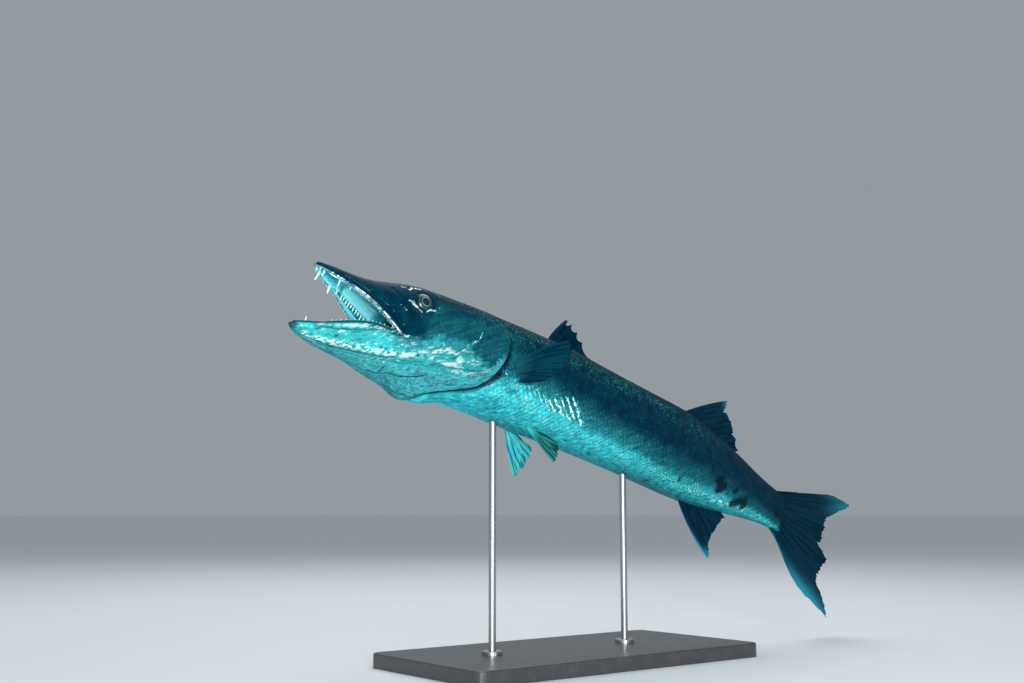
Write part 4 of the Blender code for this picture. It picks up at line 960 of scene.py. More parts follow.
def fish_finish(look, name, scaled):
    """Dark back, silver side, painted glints, and painted shade with the dark blotches, as the marks say, on
    the skin or on scales.
    """
    made = Finish(name, IOR=1.35, Specular_IOR_Level=0.07)
    made.give("Specular Tint", look.sheen)
    silver, glint, shade, green = made.marks()
    mottle, grain = made.noise(70.0, 5.0), made.noise(520.0, 2.0, 0.6)
    back = made.mix(made.steps(mottle, (0.38, 0), (0.80, 0.9)), look.back, look.back_light)
    height = made.noise(520.0, 3.0)
    if scaled:
        rim, ring, tone, spark = made.marks("form")
        streak = made.noise(190.0, 4.0, 0.6, where=made.place((0.10, 1, 1), PITCH - 0.03))
        # Foil streaks mix the silver in painted shade with the silver at its lightest, a painted reflection.
        foil = made.math("ADD", made.times(streak, 0.7), made.times(grain, 0.3))
        belly = made.mix(made.steps(foil, (0.36, 0), (0.62, 1)), look.flank, look.belly)
        base = made.mix(silver, back, belly)
        flecks = made.times(green, made.steps(made.noise(260.0, 3.0, 0.6), (0.50, 0), (0.62, 1)))
        base = made.mix(flecks, base, look.green)
        stria = made.noise(330.0, 3.0, 0.6, where=made.place((1, 1, 0.12), PITCH))
        stria = made.scaled(stria, 1.1, 0.45)
        dulled = made.scaled(silver, -0.7, 0.9)
        base = made.mix(dulled, base, stria, "MULTIPLY")
        base = made.mix(1.0, base, made.scaled(tone, 0.36, 0.82), "MULTIPLY")
        # Painted highlights: sparkling spots, the glint marks, the scales' lit edges and the rippling bars,
        # first in the gleam colour and then in the glint colour.
        spots = made.steps(made.noise(340.0, 2.0, 0.65), (0.50, 0), (0.58, 1))
        solid = made.steps(glint, (0.72, 0), (0.95, 1))
        sparkle = made.times(glint, made.most(spots, solid))
        edge = made.times(rim, made.scaled(spark, 0.30, 0.04))
        sparkle = made.most(sparkle, made.times(edge, silver))
        across, inside, _, _ = made.marks("bars")
        ripple = made.scaled(made.noise(60.0, 3.0, 0.6), 1.5, made.times(across, 10.0))
        ripple = made.steps(made.math("FRACT", ripple), (0.28, 0), (0.40, 1), (0.58, 1), (0.70, 0))
        ripple = made.times(ripple, made.steps(made.noise(150.0, 2.0), (0.40, 0.2), (0.48, 1)))
        sparkle = made.most(sparkle, made.times(ripple, inside))
        base = made.mix(made.steps(sparkle, (0.05, 0), (0.55, 1)), base, look.gleam)
        base = made.mix(made.steps(sparkle, (0.50, 0), (0.90, 1)), base, look.glint)
        height = made.scaled(made.math("SINE", made.times(ring, 70.0)), 0.22, height)
    else:
        # Foil mixes the silver in painted shade with the silver at its lightest, a painted reflection.
        foil = made.scaled(grain, 0.6, made.times(mottle, 0.4))
        belly = made.mix(made.steps(foil, (0.30, 0), (0.68, 1)), look.flank, look.belly)
        belly = made.mix(0.36, belly, look.dark_marks_and_shade)
        base = made.mix(silver, back, belly)
        wrinkled, foiled, _, _ = made.marks("form")
        tinge = made.most(made.times(green, 0.6), made.times(foiled, 0.25))
        base = made.mix(tinge, base, look.green)
        along = made.noise(130.0, 4.0, 0.62, where=made.place((0.10, 1, 1), PITCH + 0.04))
        # Thin fold lines darkened as painted shade, with painted highlights beside them in the gleam colour.
        folds = made.math("ABSOLUTE", made.math("SUBTRACT", along, 0.5))
        folds = made.times(made.steps(folds, (0.0, 0.9), (0.05, 0)), wrinkled)
        base = made.mix(made.times(wrinkled, 0.85), base, look.throat_skin)
        pale = made.times(wrinkled, made.steps(along, (0.56, 0), (0.68, 0.35)))
        base = made.mix(pale, base, look.gleam)
        # Painted highlights: the glint marks, broken by streaks that also darken the jaw's foil.
        strip = made.noise(210.0, 4.0, 0.65, where=made.place((0.30, 1, 1), PITCH + 0.04))
        broken = made.steps(strip, (0.42, 0.05), (0.54, 1))
        solid = made.steps(glint, (0.80, 0), (0.97, 1))
        sparkle = made.times(glint, made.most(broken, solid))
        dark = made.times(made.steps(strip, (0.33, 1), (0.42, 0)), foiled)
        dark = made.most(folds, made.times(dark, 0.75))
        shade = made.most(shade, made.times(dark, made.steps(glint, (0.8, 1), (1.0, 0.2))))
        sparkle = made.most(sparkle, made.times(made.steps(strip, (0.55, 0), (0.70, 0.7)), foiled))
        height = made.math("SUBTRACT", height, made.times(dark, 1.5))
        height = made.scaled(made.times(along, wrinkled), 4.0, height)
        base = made.mix(made.steps(sparkle, (0.16, 0), (0.85, 1)), base, look.glint)
    # Painted shade and the real blotches, in one dark colour.
    base = made.mix(made.times(shade, 0.95), base, look.dark_marks_and_shade)
    shiny = made.scaled(silver, 0.82, 0.18)
    shiny = made.times(shiny, made.math("SUBTRACT", 1.0, shade, clamp=True))
    made.give("Metallic", made.times(shiny, look.metal))
    rough = made.math("SUBTRACT", made.scaled(mottle, 0.26, 0.34), made.times(glint, 0.08))
    return made.done(base, rough, made.bump(height, 0.30, 0.6))


def skin_columns():
    """Angles of the skin's columns from the ridge down, closer together on the side."""
    angles = np.linspace(0, 180, 721)
    density = 1 + 0.9 * bell(angles - 58, 24) + 1.5 * bell(angles - 122, 38)
    share = np.concatenate(((0,), np.cumsum((density[1:] + density[:-1]) / 2)))
    side = np.interp(np.linspace(0, share[-1], SKIN_COLUMNS + 1), share, angles)
    side[np.argmin(np.abs(side - 90))] = 90.0
    return side


def jaw_x(u, low):
    """Distances back for shares of the way along a jaw, closer together at its tip."""
    start = (JAW if low else SNOUT)[0][0]
    return start + (MOUTH_CORNER - start) * u ** JAW_SPACING


def mouth_half(x, low):
    """Half width of the mouth inside the lips."""
    half = curve(x, LOWER if low else UPPER, 3)
    return np.maximum(LEAST_OPEN * half, half - curve(x, LIP_WALL))


def jaw_skin(low):
    """Outer skin of one jaw from lip to lip, with the lips rolled inwards."""
    side = skin_columns()
    outer = side[side >= 90] if low else side[side <= 90][::-1]
    way = 1 if low else -1
    angles = way * np.concatenate((outer, -outer[::-1][1:]))
    columns = len(angles) + 2 * LIP_TURNS
    mesh, u, v, row = grid(JAW_ROWS, columns)
    column = np.round(v * (columns - 1)).astype(int)
    x = jaw_x(u, low)
    angle = angles[np.clip(column - LIP_TURNS, 0, len(angles) - 1)]
    all_low = np.full(len(x), low)
    lip = outline(x, angle, low)
    points = lip + outward(x, angle, low) * relief(x, angle, all_low)[:, None]
    past = np.maximum(np.maximum(LIP_TURNS - column, column - LIP_TURNS - len(angles) + 1), 0) / LIP_TURNS
    inner = np.sign(lip[:, 1]) * mouth_half(x, low)
    bulge = 0.42 * way * curve(x, LIP_WALL) * (1 - smooth(x, 128, MOUTH_CORNER))
    roll = (1 + np.cos(np.pi * past)) / 2
    rolled = points.copy()
    rolled[:, 1] = inner + (points[:, 1] - inner) * roll
    rolled[:, 2] = lip[:, 2] + (points[:, 2] - lip[:, 2]) * roll + bulge * np.sin(np.pi * past)
    points = tip_closed(np.where(past[:, None] > 0, rolled, points), row, x, low)
    marks = markings(x, angle, all_low)
    # Inside the lips: painted highlights in three lines along the roll, painted shade between them.
    inside = past > 0.04
    lines = 0.5 - 0.5 * np.cos(2 * np.pi * 3 * past)
    marks[:, 0] = np.where(inside, 0.75, marks[:, 0])
    marks[:, 1] = np.where(inside, (0.2 + 0.8 * lines) * (0.3 if low else 0.7), marks[:, 1])
    marks[:, 2] = np.where(inside, 0.75 * (1 - lines) ** 2, marks[:, 2])
    return shape(mesh, points, marks, skin_folds(x, angle, all_low) * (past <= 0)[:, None])


def tip_closed(points, row, x, low):
    """Draw the first rows of a jaw in to one point, so that its tip is round."""
    table = LOWER if low else UPPER
    middle = np.stack((x, 0 * x, (curve(x, table, 1) + curve(x, table, 2)) / 2), -1)
    shrink = np.clip(row / 3, 0, 1) ** 0.5
    return middle + (points - middle) * shrink[:, None] - np.array((0.5, 0, 0)) * (row == 0)[:, None]


def body_skin():
    """Outer skin behind the mouth's corner, with the free edge of the gill covers."""
    side = skin_columns()
    angles = np.concatenate((-side[::-1], side[1:]))
    front, rear = BODY_ROWS
    edge_rows = len(GILL_SECTION)
    rows = front + edge_rows + rear
    mesh, _, v, row = grid(rows, len(angles))
    angle = angles[np.round(v * (len(angles) - 1)).astype(int)]
    edge = curve(np.abs(angle), GILL_EDGE)
    fade = gill_fade(angle)
    section = np.array(GILL_SECTION)
    step = np.clip(row - front, 0, edge_rows - 1)
    even = np.interp(step, (0, edge_rows - 1), section[[0, -1], 0])
    offset = fade * np.interp(step, range(edge_rows), section[:, 0]) + (1 - fade) * even
    start, end = edge + section[0, 0], edge + section[-1, 0]
    before = MOUTH_CORNER + (start - MOUTH_CORNER) * row / front
    after = end + (SKIN_END - end) * (np.maximum(0, row - front - edge_rows + 1) / rear) ** 1.12
    x = np.where(row < front, before, np.where(row < front + edge_rows, edge + offset, after))
    height = relief(x, angle) - SCALE_BED * coat_share(x, angle)
    opening = 1 + 0.8 * bell(np.abs(angle) - 104, 22)
    lift = np.interp(step, range(edge_rows), section[:, 1])
    lift = np.where(lift < 0, lift * opening, lift) * fade
    at_edge = (row >= front) & (row < front + edge_rows)
    height += np.where(at_edge, lift, cover_height(x, angle))
    points = outline(x, angle) + outward(x, angle) * height[:, None]
    last = row == rows - 1
    points[last, 1] = 0.0
    return shape(mesh, points, markings(x, angle), skin_folds(x, angle))


def mouth_arch(x, turn, low):
    """Place on the lining of the mouth, turn running from the left lip to the right one."""
    edge = curve(x, LOWER if low else UPPER, 2)
    peak = curve(x, FLOOR if low else ROOF)
    y = mouth_half(x, low) * power(np.sin(turn), 2 / MOUTH_SQUARE)
    z = edge + (peak - edge) * power(np.cos(turn), 2 / MOUTH_SQUARE)
    return np.stack((x, y, z), -1)


def jaw_lining(low):
    """Palate or mouth floor, with the ridges and folds of the real one."""
    mesh, u, v, row = grid(*JAW_LINING_GRID)
    x = jaw_x(u, low)
    way = 1 if low else -1
    turn = -way * np.pi * (v - 0.5)
    points = mouth_arch(x, turn, low)
    lift = lining_relief(x, turn, low)
    points[:, 2] += way * lift * smooth(x, 2, 25)
    points = tip_closed(points, row, x, low)
    return shape(mesh, points, lining_marks(x, turn, low))


def palate_pad(x, degrees):
    """1 on the smooth bright pad inside each row of palate teeth."""
    front = 66 + 5 * ((degrees - 42) / 18) ** 2
    along = smooth(x, front, front + 5) * (1 - smooth(x, 128, 142))
    return along * smooth(degrees, 20, 27) * (1 - smooth(degrees, 50, 55))


def lining_relief(x, turn, low):
    """Height of the lining's forms into the mouth: tooth ridges, ribs and folds."""
    degrees = np.degrees(np.abs(turn))
    side = 40 * np.sign(turn)
    flat = np.stack((x / 3, degrees / 2 + side, 0 * x), -1)
    window = smooth(90 - degrees, 0, 8)
    if low:
        lift = 1.6 * bell(degrees - 62, 9) + 0.6 * bell(noise(flat, 3.0, 41), 0.3)
        return window * (lift + 0.5 * bell(degrees, 5))
    ridge = curve(x, PALATE_RIDGE) * bell(degrees - PALATE_RIDGE_ANGLE, 8)
    pad = 3.6 * palate_pad(x, degrees) * bell(degrees - 40, 20)
    long = np.stack((x / 14, degrees / 1.5 + side, 0 * x), -1)
    streaks = 0.35 * noise(long, 1.6, 44) * palate_pad(x, degrees)
    ribs = 0.75 * bell(np.mod(x + 0.22 * degrees + 1.5 * noise(flat, 8.0, 42), 8.5) - 4.2, 1.5)
    ribs *= smooth(degrees, 3, 10) * (1 - smooth(degrees, 18, 26)) * smooth(x, 25, 45)
    middle = 1.1 * bell(degrees, 3.5) + 0.5 * bell(degrees - 12, 2.5)
    return window * (ridge + pad + streaks + ribs + middle + 0.3 * noise(flat, 2.2, 43))


def lining_marks(x, turn, low):
    """Light, partly painted highlight, painted shade and painted depth shade of the lining's parts."""
    degrees = np.degrees(np.abs(turn))
    side = 40 * np.sign(turn)
    if low:
        light = 0.5 * bell(degrees - 80, 12)
        return np.stack((light, 0.5 * smooth(x, 60, 143), 0 * x), -1)
    pad = palate_pad(x, degrees)
    streak = noise(np.stack((x / 16, degrees / 1.5 + side, 0 * x), -1), 1.5, 45)
    ridge = bell(degrees - PALATE_RIDGE_ANGLE, 5) * (1 - smooth(x, 62, 70))
    gum = bell(np.mod(degrees, 5) - 2.5, 1.0) * smooth(degrees, 77, 80)
    light = np.maximum.reduce((pad * (0.8 + 0.3 * streak), 0.75 * ridge, 0.9 * gum))
    trough = smooth(degrees, 58, 62) * (1 - smooth(degrees, 74, 80)) * smooth(x, 55, 70)
    hollow = (1 - smooth(degrees, 30, 44)) * smooth(x, 14, 24) * (1 - smooth(x, 48, 62)) * 0.6
    fold = bell(x - 64 - 3 * ((degrees - 30) / 30) ** 2, 1.6) * (1 - smooth(degrees, 48, 56))
    shade = np.maximum.reduce((0.95 * trough, hollow, 0.8 * fold, 0.25 * smooth(x, 128, 143)))
    return np.stack((light, shade * (1 - 0.6 * pad), 0 * x), -1)


def throat_lining():
    """Throat behind the mouth, closed at its end, with the arches of the gills."""
    mesh, u, v, row = grid(*THROAT_GRID)
    x = np.full(len(u), MOUTH_CORNER)
    upper = v < 0.5
    turn = np.where(upper, np.pi * (2 * v - 0.5), np.pi * (1.5 - 2 * v))
    points = np.where(upper[:, None], mouth_arch(x, turn, False), mouth_arch(x, turn, True))
    share = curve(MOUTH_CORNER + 75 * u, THROAT_SHARE)
    middle = np.array((0, 0, THROAT_MIDDLE))
    points = middle + (points - middle) * share[:, None]
    points[:, 0] = MOUTH_CORNER + THROAT_DEPTH * u
    arches = 2.2 * bell(np.mod(points[:, 0] - 3 * np.cos(turn), 12.5) - 6, 2.4) * smooth(u, 0.1, 0.3)
    centred = points - middle
    reach = np.linalg.norm(centred[:, 1:], axis=1)
    points[:, 1:] -= centred[:, 1:] * (arches * (reach > 12) / np.maximum(reach, 12))[:, None]
    points[row == row.max(), 1:] = (0, THROAT_MIDDLE)
    # Painted highlight on the gill arches, and painted shade that deepens down the throat.
    marks = np.stack((0.4 * arches / 2.2, 0.25 + 0.75 * smooth(u, 0, 0.4), smooth(u, 0.1, 0.8)), -1)
    return shape(mesh, points, marks)


def lining_finish(look):
    """Wet pale lining with veins, partly painted highlights, painted shade in its folds and down the throat.
    """
    made = Finish("mouth_lining", Coat_Weight=0.35, Coat_Roughness=0.15, Subsurface_Weight=0.1)
    made.give("Subsurface Radius", (0.6, 1.0, 1.0)).give("Subsurface Scale", 0.003)
    light, shade, throat_shade, _ = made.marks()
    cloud = made.steps(made.noise(150.0, 4.0), (0.35, 0), (0.68, 1))
    base = made.mix(made.times(cloud, 0.35), look.mouth, look.mouth_light)
    base = made.mix(light, base, look.mouth_light)
    base = made.mix(made.times(shade, 0.9), base, look.mouth_shade)
    base = made.mix(throat_shade, base, look.throat)
    rough = made.scaled(cloud, 0.12, 0.28)
    return made.done(base, rough, made.bump(made.noise(380.0, 4.0), 0.3, 0.5))


def scale_template():
    """Thin round plate with a domed top, as triangles."""
    bm = bmesh.new()
    bmesh.ops.create_cone(bm, cap_ends=True, segments=SCALE_SIDES, radius1=1.0, radius2=1.0, depth=1.0)
    top = [f for f in bm.faces if f.normal.z > 0.9]
    bmesh.ops.inset_region(bm, faces=top, thickness=0.34, use_even_offset=True)
    top = [f for f in bm.faces if f.normal.z > 0.9 and len(f.verts) > 4]
    bmesh.ops.poke(bm, faces=top)
    return triangulated(bm, "scale")


def row_spacing(x, fineness=1.0):
    """Distance between rows of scales, which narrows less than the body does."""
    return fineness * ROW_SPACING * np.sqrt(half_girth(x) / half_girth(500.0))


def scale_places(fineness, start, end):
    """Roots of scales on both sides as (distance back, signed share round the body)."""
    xs = np.linspace(start, end, 4000)
    count = np.concatenate(((0,), np.cumsum(np.diff(xs) / (SCALE_PITCH * row_spacing(xs[1:], fineness)))))
    most = int(half_girth(600.0) / row_spacing(xs, fineness).min()) + 1
    places = []
    for row in range(-most, most):
        x = np.interp(np.arange(0.3 + 0.5 * (row % 2), count[-1]), count, xs)
        share = MIDDLE_SHARE + (row + 0.5) * row_spacing(x, fineness) / half_girth(x)
        edge = 0.2 * row_spacing(x, fineness) / half_girth(x)
        kept = (share > edge) & (share < 1 - edge)
        places += [np.stack((x[kept], side * share[kept]), -1) for side in (-1, 1)]
    return np.concatenate(places)


def scale_mesh(name, template, places, fineness, lift, seed):
    """Mesh of scales on the skin, each over the root of the one behind it."""
    form = read_points(template)
    along, across = form[:, 0], form[:, 1]
    top = form[:, 2] > 0
    reach = np.clip(np.hypot(along, across), 0, 1)
    draw = np.random.default_rng(seed)
    vary = draw.uniform(-1, 1, (len(places), 6))
    x0, share0 = places[:, :1], places[:, 1:]
    row_width = row_spacing(x0, fineness)
    pitch = SCALE_PITCH * row_width
    size = 1 + 0.07 * vary[:, :1]
    turn = 0.08 * vary[:, 1:2]
    s = along + turn * across
    w = across * (1 - 0.12 * np.maximum(0, along) ** 2) - turn * along
    x = x0 + 0.06 * pitch * vary[:, 2:3] + SCALE_REACH * pitch * size * s
    width = SCALE_HALF_WIDTH * row_width * size * w + 0.05 * row_width * vary[:, 3:4]
    x = np.clip(x, MOUTH_CORNER, SKIN_END)
    angle = angle_at(x, share0 + width / half_girth(x))
    height = lift * (0.5 + 0.5 * s) * (1 + 0.22 * vary[:, 4:5]) + 0.06 * vary[:, 5:6] * w
    plate = (0.12 + 0.16 * (1 - reach ** 2)) * np.minimum(1, row_width / 5)
    height = height + np.where(top, plate, -0.05) - 0.16 * lift * w * w
    flat_x, flat_angle = x.ravel(), angle.ravel()
    base = np.zeros(len(flat_x))
    front = flat_x < 370
    base[front] = relief(flat_x[front], flat_angle[front])
    behind = gill_distance(flat_x, flat_angle)
    base += cover_height(flat_x, flat_angle)
    groove = 2.2 * bell(behind, 5.0) * (behind > 0) * gill_fade(flat_angle)
    base = base - groove - 0.8 * np.clip(lift, 0, 1) / 0.95
    points = outline(flat_x, flat_angle) + outward(flat_x, flat_angle) * (base + height.ravel())[:, None]
    mesh = repeated(name, template, points.reshape(x.shape + (3,)))
    spread = (1 + 0.015 * vary[:, 3:4] + 0 * x).ravel()
    marks = markings(flat_x, np.clip(flat_angle * spread, -180, 180))
    store(mesh, "marks", marks)
    # Painted highlight along the upper rear of each scale's free edge, where light would catch it; spark
    # sets how strongly each scale glints.
    down = across * np.sign(share0)
    lit = 0.25 + 0.75 * smooth(-down, -0.35, 0.3)
    rim = smooth(reach, 0.62, 0.98) * smooth(along, -0.1, 0.4) * lit * top
    tone = np.clip(0.5 + 0.35 * vary[:, 1:2] + 0.15 * vary[:, 4:5] + 0 * x, 0, 1)
    spark = (0.5 + 0.5 * vary[:, 5:6]) ** 2 + 0 * x
    parts = np.stack(np.broadcast_arrays(rim, np.hypot(along + 0.4, across) * 0.6, tone, spark), -1)
    store(mesh, "form", parts)
    store(mesh, "bars", bar_marks(flat_x, flat_angle))
    bake_map(mesh, places, form)
    return mesh


def bake_map(mesh, places, form):
    """Patch for each scale at its root's place on the skin laid flat."""
    inside = BAKE_PATCH * (0.5 + 0.5 * form)
    u = 0.01 + 0.96 * places[:, :1] / BAKE_LENGTH + inside[:, 0]
    v = 0.5 + 0.48 * places[:, 1:] + inside[:, 1]
    corner = np.zeros(len(mesh.loops), np.int64)
    mesh.loops.foreach_get("vertex_index", corner)
    flat = np.stack((u, v), -1).reshape(-1, 2)
    mesh.uv_layers.new(name="OFBake").data.foreach_set("uv", flat[corner].ravel())


def body_places():
    """Scales behind the gills and over the nape, with the rows of the body."""
    places = scale_places(1.0, NAPE_START, SKIN_END - 4)
    angle = angle_at(places[:, 0], places[:, 1])
    draw = np.random.default_rng(KEEP_SEED)
    keep = coat_share(places[:, 0], angle) > 0.45 + 0.1 * draw.uniform(-1, 1, len(places))
    return places[keep]


def cheek_places():
    """Small scales sunk in the skin of the cheek, the gill cover and the nape's front."""
    places = scale_places(CHEEK_FINENESS, *CHEEK_SPAN)
    x = places[:, 0]
    angle = angle_at(x, places[:, 1])
    a = np.abs(angle)
    line = curve(x, SILVER_LINE)
    points = mirrored(outline(x, angle))
    away = eye_distance(points)
    keep = (gill_distance(x, angle) < -5) & (away > 24) & (coat_share(x, angle) < 0.4)
    keep &= (a < line - 2) & (membrane_share(x, angle) < 0.2) & (x + 0.35 * a > 214)
    return places[keep & (distance_to(points, COVER_LINE) > 3.5)]


def tooth_template():
    """Pointed blade one unit long over its root, round at the root, as triangles."""
    bm = bmesh.new()
    bmesh.ops.create_cone(bm, cap_ends=True, segments=10, radius1=1.0, radius2=0.02, depth=1.0)
    long_edges = [e for e in bm.edges if abs(e.verts[0].co.z - e.verts[1].co.z) > 0.5]
    bmesh.ops.subdivide_edges(bm, edges=long_edges, cuts=6, use_grid_fill=True)
    bmesh.ops.translate(bm, verts=bm.verts, vec=(0, 0, 0.5))
    return triangulated(bm, "tooth")


def tooth_points(form, root, tip, radius, blade):
    """A tooth's vertices from its root in the gum to its tip."""
    rise = form[:, 2]
    axis = tip - root
    length = np.linalg.norm(axis)
    axis = axis / length
    forward = np.array((1.0, 0, 0)) - axis * axis[0]
    forward /= np.linalg.norm(forward)
    outer = np.cross(axis, forward)
    level = np.maximum(1 - rise, 0.02)
    swell = level ** 0.62 / level
    bend = 0.10 * length * (rise ** 2 - rise)
    x = form[:, 0] * swell * radius
    y = form[:, 1] * swell * radius * blade
    return root + rise[:, None] * (tip - root) + (x - bend)[:, None] * forward + y[:, None] * outer


def tooth_row(row, draw):
    """Distance back, height and root of each tooth of a row, as uneven as real ones."""
    first, last, count, height_first, height_last, radius = row
    for k in range(count):
        share = k / (count - 1)
        height = height_first + (height_last - height_first) * share
        uneven = (0.72 if k % 3 == 1 else 1.0) * (1 + 0.12 * draw.uniform(-1, 1))
        yield first + (last - first) * (share + 0.006 * draw.uniform(-1, 1)), height * uneven, radius


def jaw_teeth(low):
    """All teeth of one jaw as (root, tip, radius, blade share)."""
    draw = np.random.default_rng(TEETH_SEED + low)
    way = 1 if low else -1
    table = LOWER if low else UPPER
    teeth = []
    for x, y, gum, height, radius, lean in LOWER_FANGS if low else UPPER_FANGS:
        tip = np.array((x - height * math.tan(math.radians(lean)), y, gum + way * height))
        teeth.append((np.array((x, y, gum - way * 3)), tip, radius, FANG_BLADE))
    for side in (-1, 1):
        for x, height, radius in tooth_row(LOWER_EDGE_TEETH if low else UPPER_EDGE_TEETH, draw):
            half, edge = curve(x, table, 3), curve(x, table, 2)
            y = side * (half - (0.62 if low else 0.5) * curve(x, LIP_WALL))
            lean = 0.14 * height * draw.uniform(-1, 1)
            tip = np.array((x + lean, y - 0.4 * side, edge + way * (height + 1)))
            teeth.append((np.array((x, y, edge - way * 2.0)), tip, radius, EDGE_BLADE))
        for x, height, radius in () if low else tooth_row(PALATE_TEETH, draw):
            half, edge, peak = curve(x, UPPER, 3), curve(x, UPPER, 2), curve(x, ROOF)
            turn = math.radians(PALATE_RIDGE_ANGLE + 5)
            y = side * (half - curve(x, LIP_WALL)) * math.sin(turn) ** (2 / MOUTH_SQUARE)
            gum = edge + (peak - edge) * math.cos(turn) ** (2 / MOUTH_SQUARE) - 0.6 * curve(x, PALATE_RIDGE)
            tip = np.array((x - 1.0, y * 1.03, gum - height))
            teeth.append((np.array((x, y, gum + 3)), tip, radius, PALATE_BLADE))
    return teeth


def tooth_finish(look):
    """Ivory enamel, yellower and duller at the gum, glassy at the point."""
    made = Finish("tooth_enamel", Coat_Weight=0.6, Coat_Roughness=0.06, Subsurface_Weight=0.15)
    made.give("Subsurface Radius", (1.0, 0.8, 0.6)).give("Subsurface Scale", 0.002)
    rise = made.marks()[0]
    streak = made.noise(900.0, 2.0, where=made.place((1, 1, 0.2)))
    base = made.mix(made.steps(rise, (0.2, 0), (0.75, 1)), look.tooth_root, look.tooth)
    base = made.mix(made.times(streak, 0.18), base, look.tooth_root)
    rough = made.scaled(streak, 0.14, 0.16)
    return made.done(base, rough, made.bump(streak, 0.06, 0.5))


def fin_surface(roots, tips, bow, q, v):
    """Places on a fin's middle surface: q counts its rays and v runs along them."""
    count = len(roots)
    base = np.stack([curve(q, [(i, r[k]) for i, r in enumerate(roots)]) for k in range(3)], -1)
    end = np.stack([curve(q, [(i, t[k]) for i, t in enumerate(tips)]) for k in range(3)], -1)
    step = end - base
    over = q - np.clip(q, 0, count - 1)
    width = (np.array(roots[-1]) - np.array(roots[0])) / (count - 1)
    bend = 4 * v * (1 - v) * (1 - np.clip(q, 0, count - 1) / (count - 1))
    place = base + step * v[:, None] + over[:, None] * width * (1 + 0.6 * v[:, None])
    return place + bend[:, None] * np.array(bow)


def fin_mesh(roots, tips, form, seed):
    """Closed thin fin whose rays split towards its edge and stand over the membrane."""
    per_ray, rows = form["columns"], form["rows"]
    count = len(roots)
    mesh, u, w, _ = grid(rows, 2 * per_ray * form["rays"] * (count - 1) + 1)
    q = -FIN_RIM + (count - 1 + 2 * FIN_RIM) * (1 - np.abs(1 - 2 * w))
    inside = np.clip(q, 0, count - 1)
    side = np.where(w <= 0.5, 1.0, -1.0)
    ray = inside * form["rays"]
    split = ray - np.round(ray)
    wander = noise(np.stack((ray * 3, 5 * u, 0 * u), -1), 1.6, seed)
    if form["branched"]:
        first, second = 0.19 * smooth(u, 0.30, 0.80), 0.085 * smooth(u, 0.58, 1.0)
        off = np.abs(np.abs(np.abs(split) - first) - second)
        width = 0.13 - 0.085 * smooth(u, 0.1, 1.0)
        notch = form["notch"] * (0.5 - 0.5 * np.cos(2 * np.pi * (split + 0.5) * 2) + 0.5 * wander)
    else:
        off = np.abs(split)
        width = 0.14 - 0.08 * u
        notch = form["notch"] * (1 - (1 - 2 * np.abs(split)) ** 2.2)
    ridge = bell(off, width)
    v = u * (1 - np.clip(notch, -0.02, 0.5) * smooth(u, 0.0, 1.0))
    torn = noise(np.stack((ray, 0 * u, 0 * u), -1), 0.45, seed + 1)
    v = v * (1 - form["ragged"] * np.maximum(0, torn))
    root_half, tip_half = form["half"]
    body = tip_half + (root_half - tip_half) * (1 - u) ** form["taper"]
    half = body * (0.42 + 0.58 * ridge) + 0.05
    over = np.abs(q - inside) / FIN_RIM
    half = half * np.sqrt(np.clip(1 - over ** 2, 0, 1)) * np.clip((1 - u) * rows / 3, 0, 1) ** 0.5 * (u > 0)
    surface = partial(fin_surface, roots, tips, form["bow"])
    across = surface(q + 0.2, v) - surface(q - 0.2, v)
    along = surface(q, v + 0.02) - surface(q, v - 0.02)
    normal = np.cross(across, along)
    normal /= np.maximum(np.linalg.norm(normal, axis=1, keepdims=True), 1e-9)
    wave = form["wave"] * v ** 1.5 * np.sin(inside * 1.3 + 2.5 * v)
    points = surface(q, v) + normal * (side * half + wave)[:, None]
    pale = np.zeros(len(u))
    for q0, v0, wide_q, wide_v, strength in form["pale"]:
        pale = np.maximum(pale, strength * bell(inside / (count - 1) - q0, wide_q) * bell(v - v0, wide_v))
    return shape(mesh, points, np.stack((ridge, v, pale, 0.5 + 0.5 * wander), -1))


def fin_finish(look, name, base_colour, ray_colour, streaked, lit):
    """Dusky membrane with paler rays and streaks, a painted glint near the root, pale tips and the rays'
    fine joints.
    """
    made = Finish(name, IOR=1.35, Specular_IOR_Level=0.1)
    made.give("Specular Tint", look.sheen)
    ridge, along, pale, wander = made.marks()
    cloud = made.steps(made.noise(90.0, 3.0), (0.35, 0), (0.7, 1))
    skin = made.mix(made.times(cloud, 0.6), base_colour, look.fin_light)
    streaks = made.times(made.steps(wander, (0.36, 0), (0.62, 1)), streaked)
    skin = made.mix(streaks, skin, ray_colour)
    ray = made.times(ridge, made.scaled(wander, 0.5, 0.25))
    base = made.mix(ray, skin, ray_colour)
    # Painted highlight near the rays' roots, as strong as lit.
    root = made.times(made.steps(along, (0.02, 1), (0.40, 0)), lit)
    base = made.mix(made.times(root, made.steps(wander, (0.2, 0.4), (0.5, 1))), base, look.gleam)
    joints = made.math("SINE", made.times(along, 260.0))
    base = made.mix(made.times(made.times(joints, ridge), 0.10, clamp=True), base, look.dark_marks_and_shade)
    base = made.mix(made.times(pale, 0.85), base, look.fin_tip)
    height = made.scaled(made.times(joints, ridge), 0.5, made.noise(300.0, 3.0))
    return made.done(base, made.scaled(cloud, 0.15, 0.36), made.bump(height, 0.16, 0.6))


def middle_rays(rays, upward):
    """Roots in the body's ridge or belly and tips of a fin in the middle plane."""
    roots, tips = [], []
    for root_x, tip_x, tip_z in rays:
        edge = curve(root_x, UPPER, 1) - FIN_SUNK if upward else curve(root_x, LOWER, 1) + FIN_SUNK
        roots.append((root_x, 0.0, float(edge)))
        tips.append((tip_x, 0.0, tip_z))
    return roots, tips


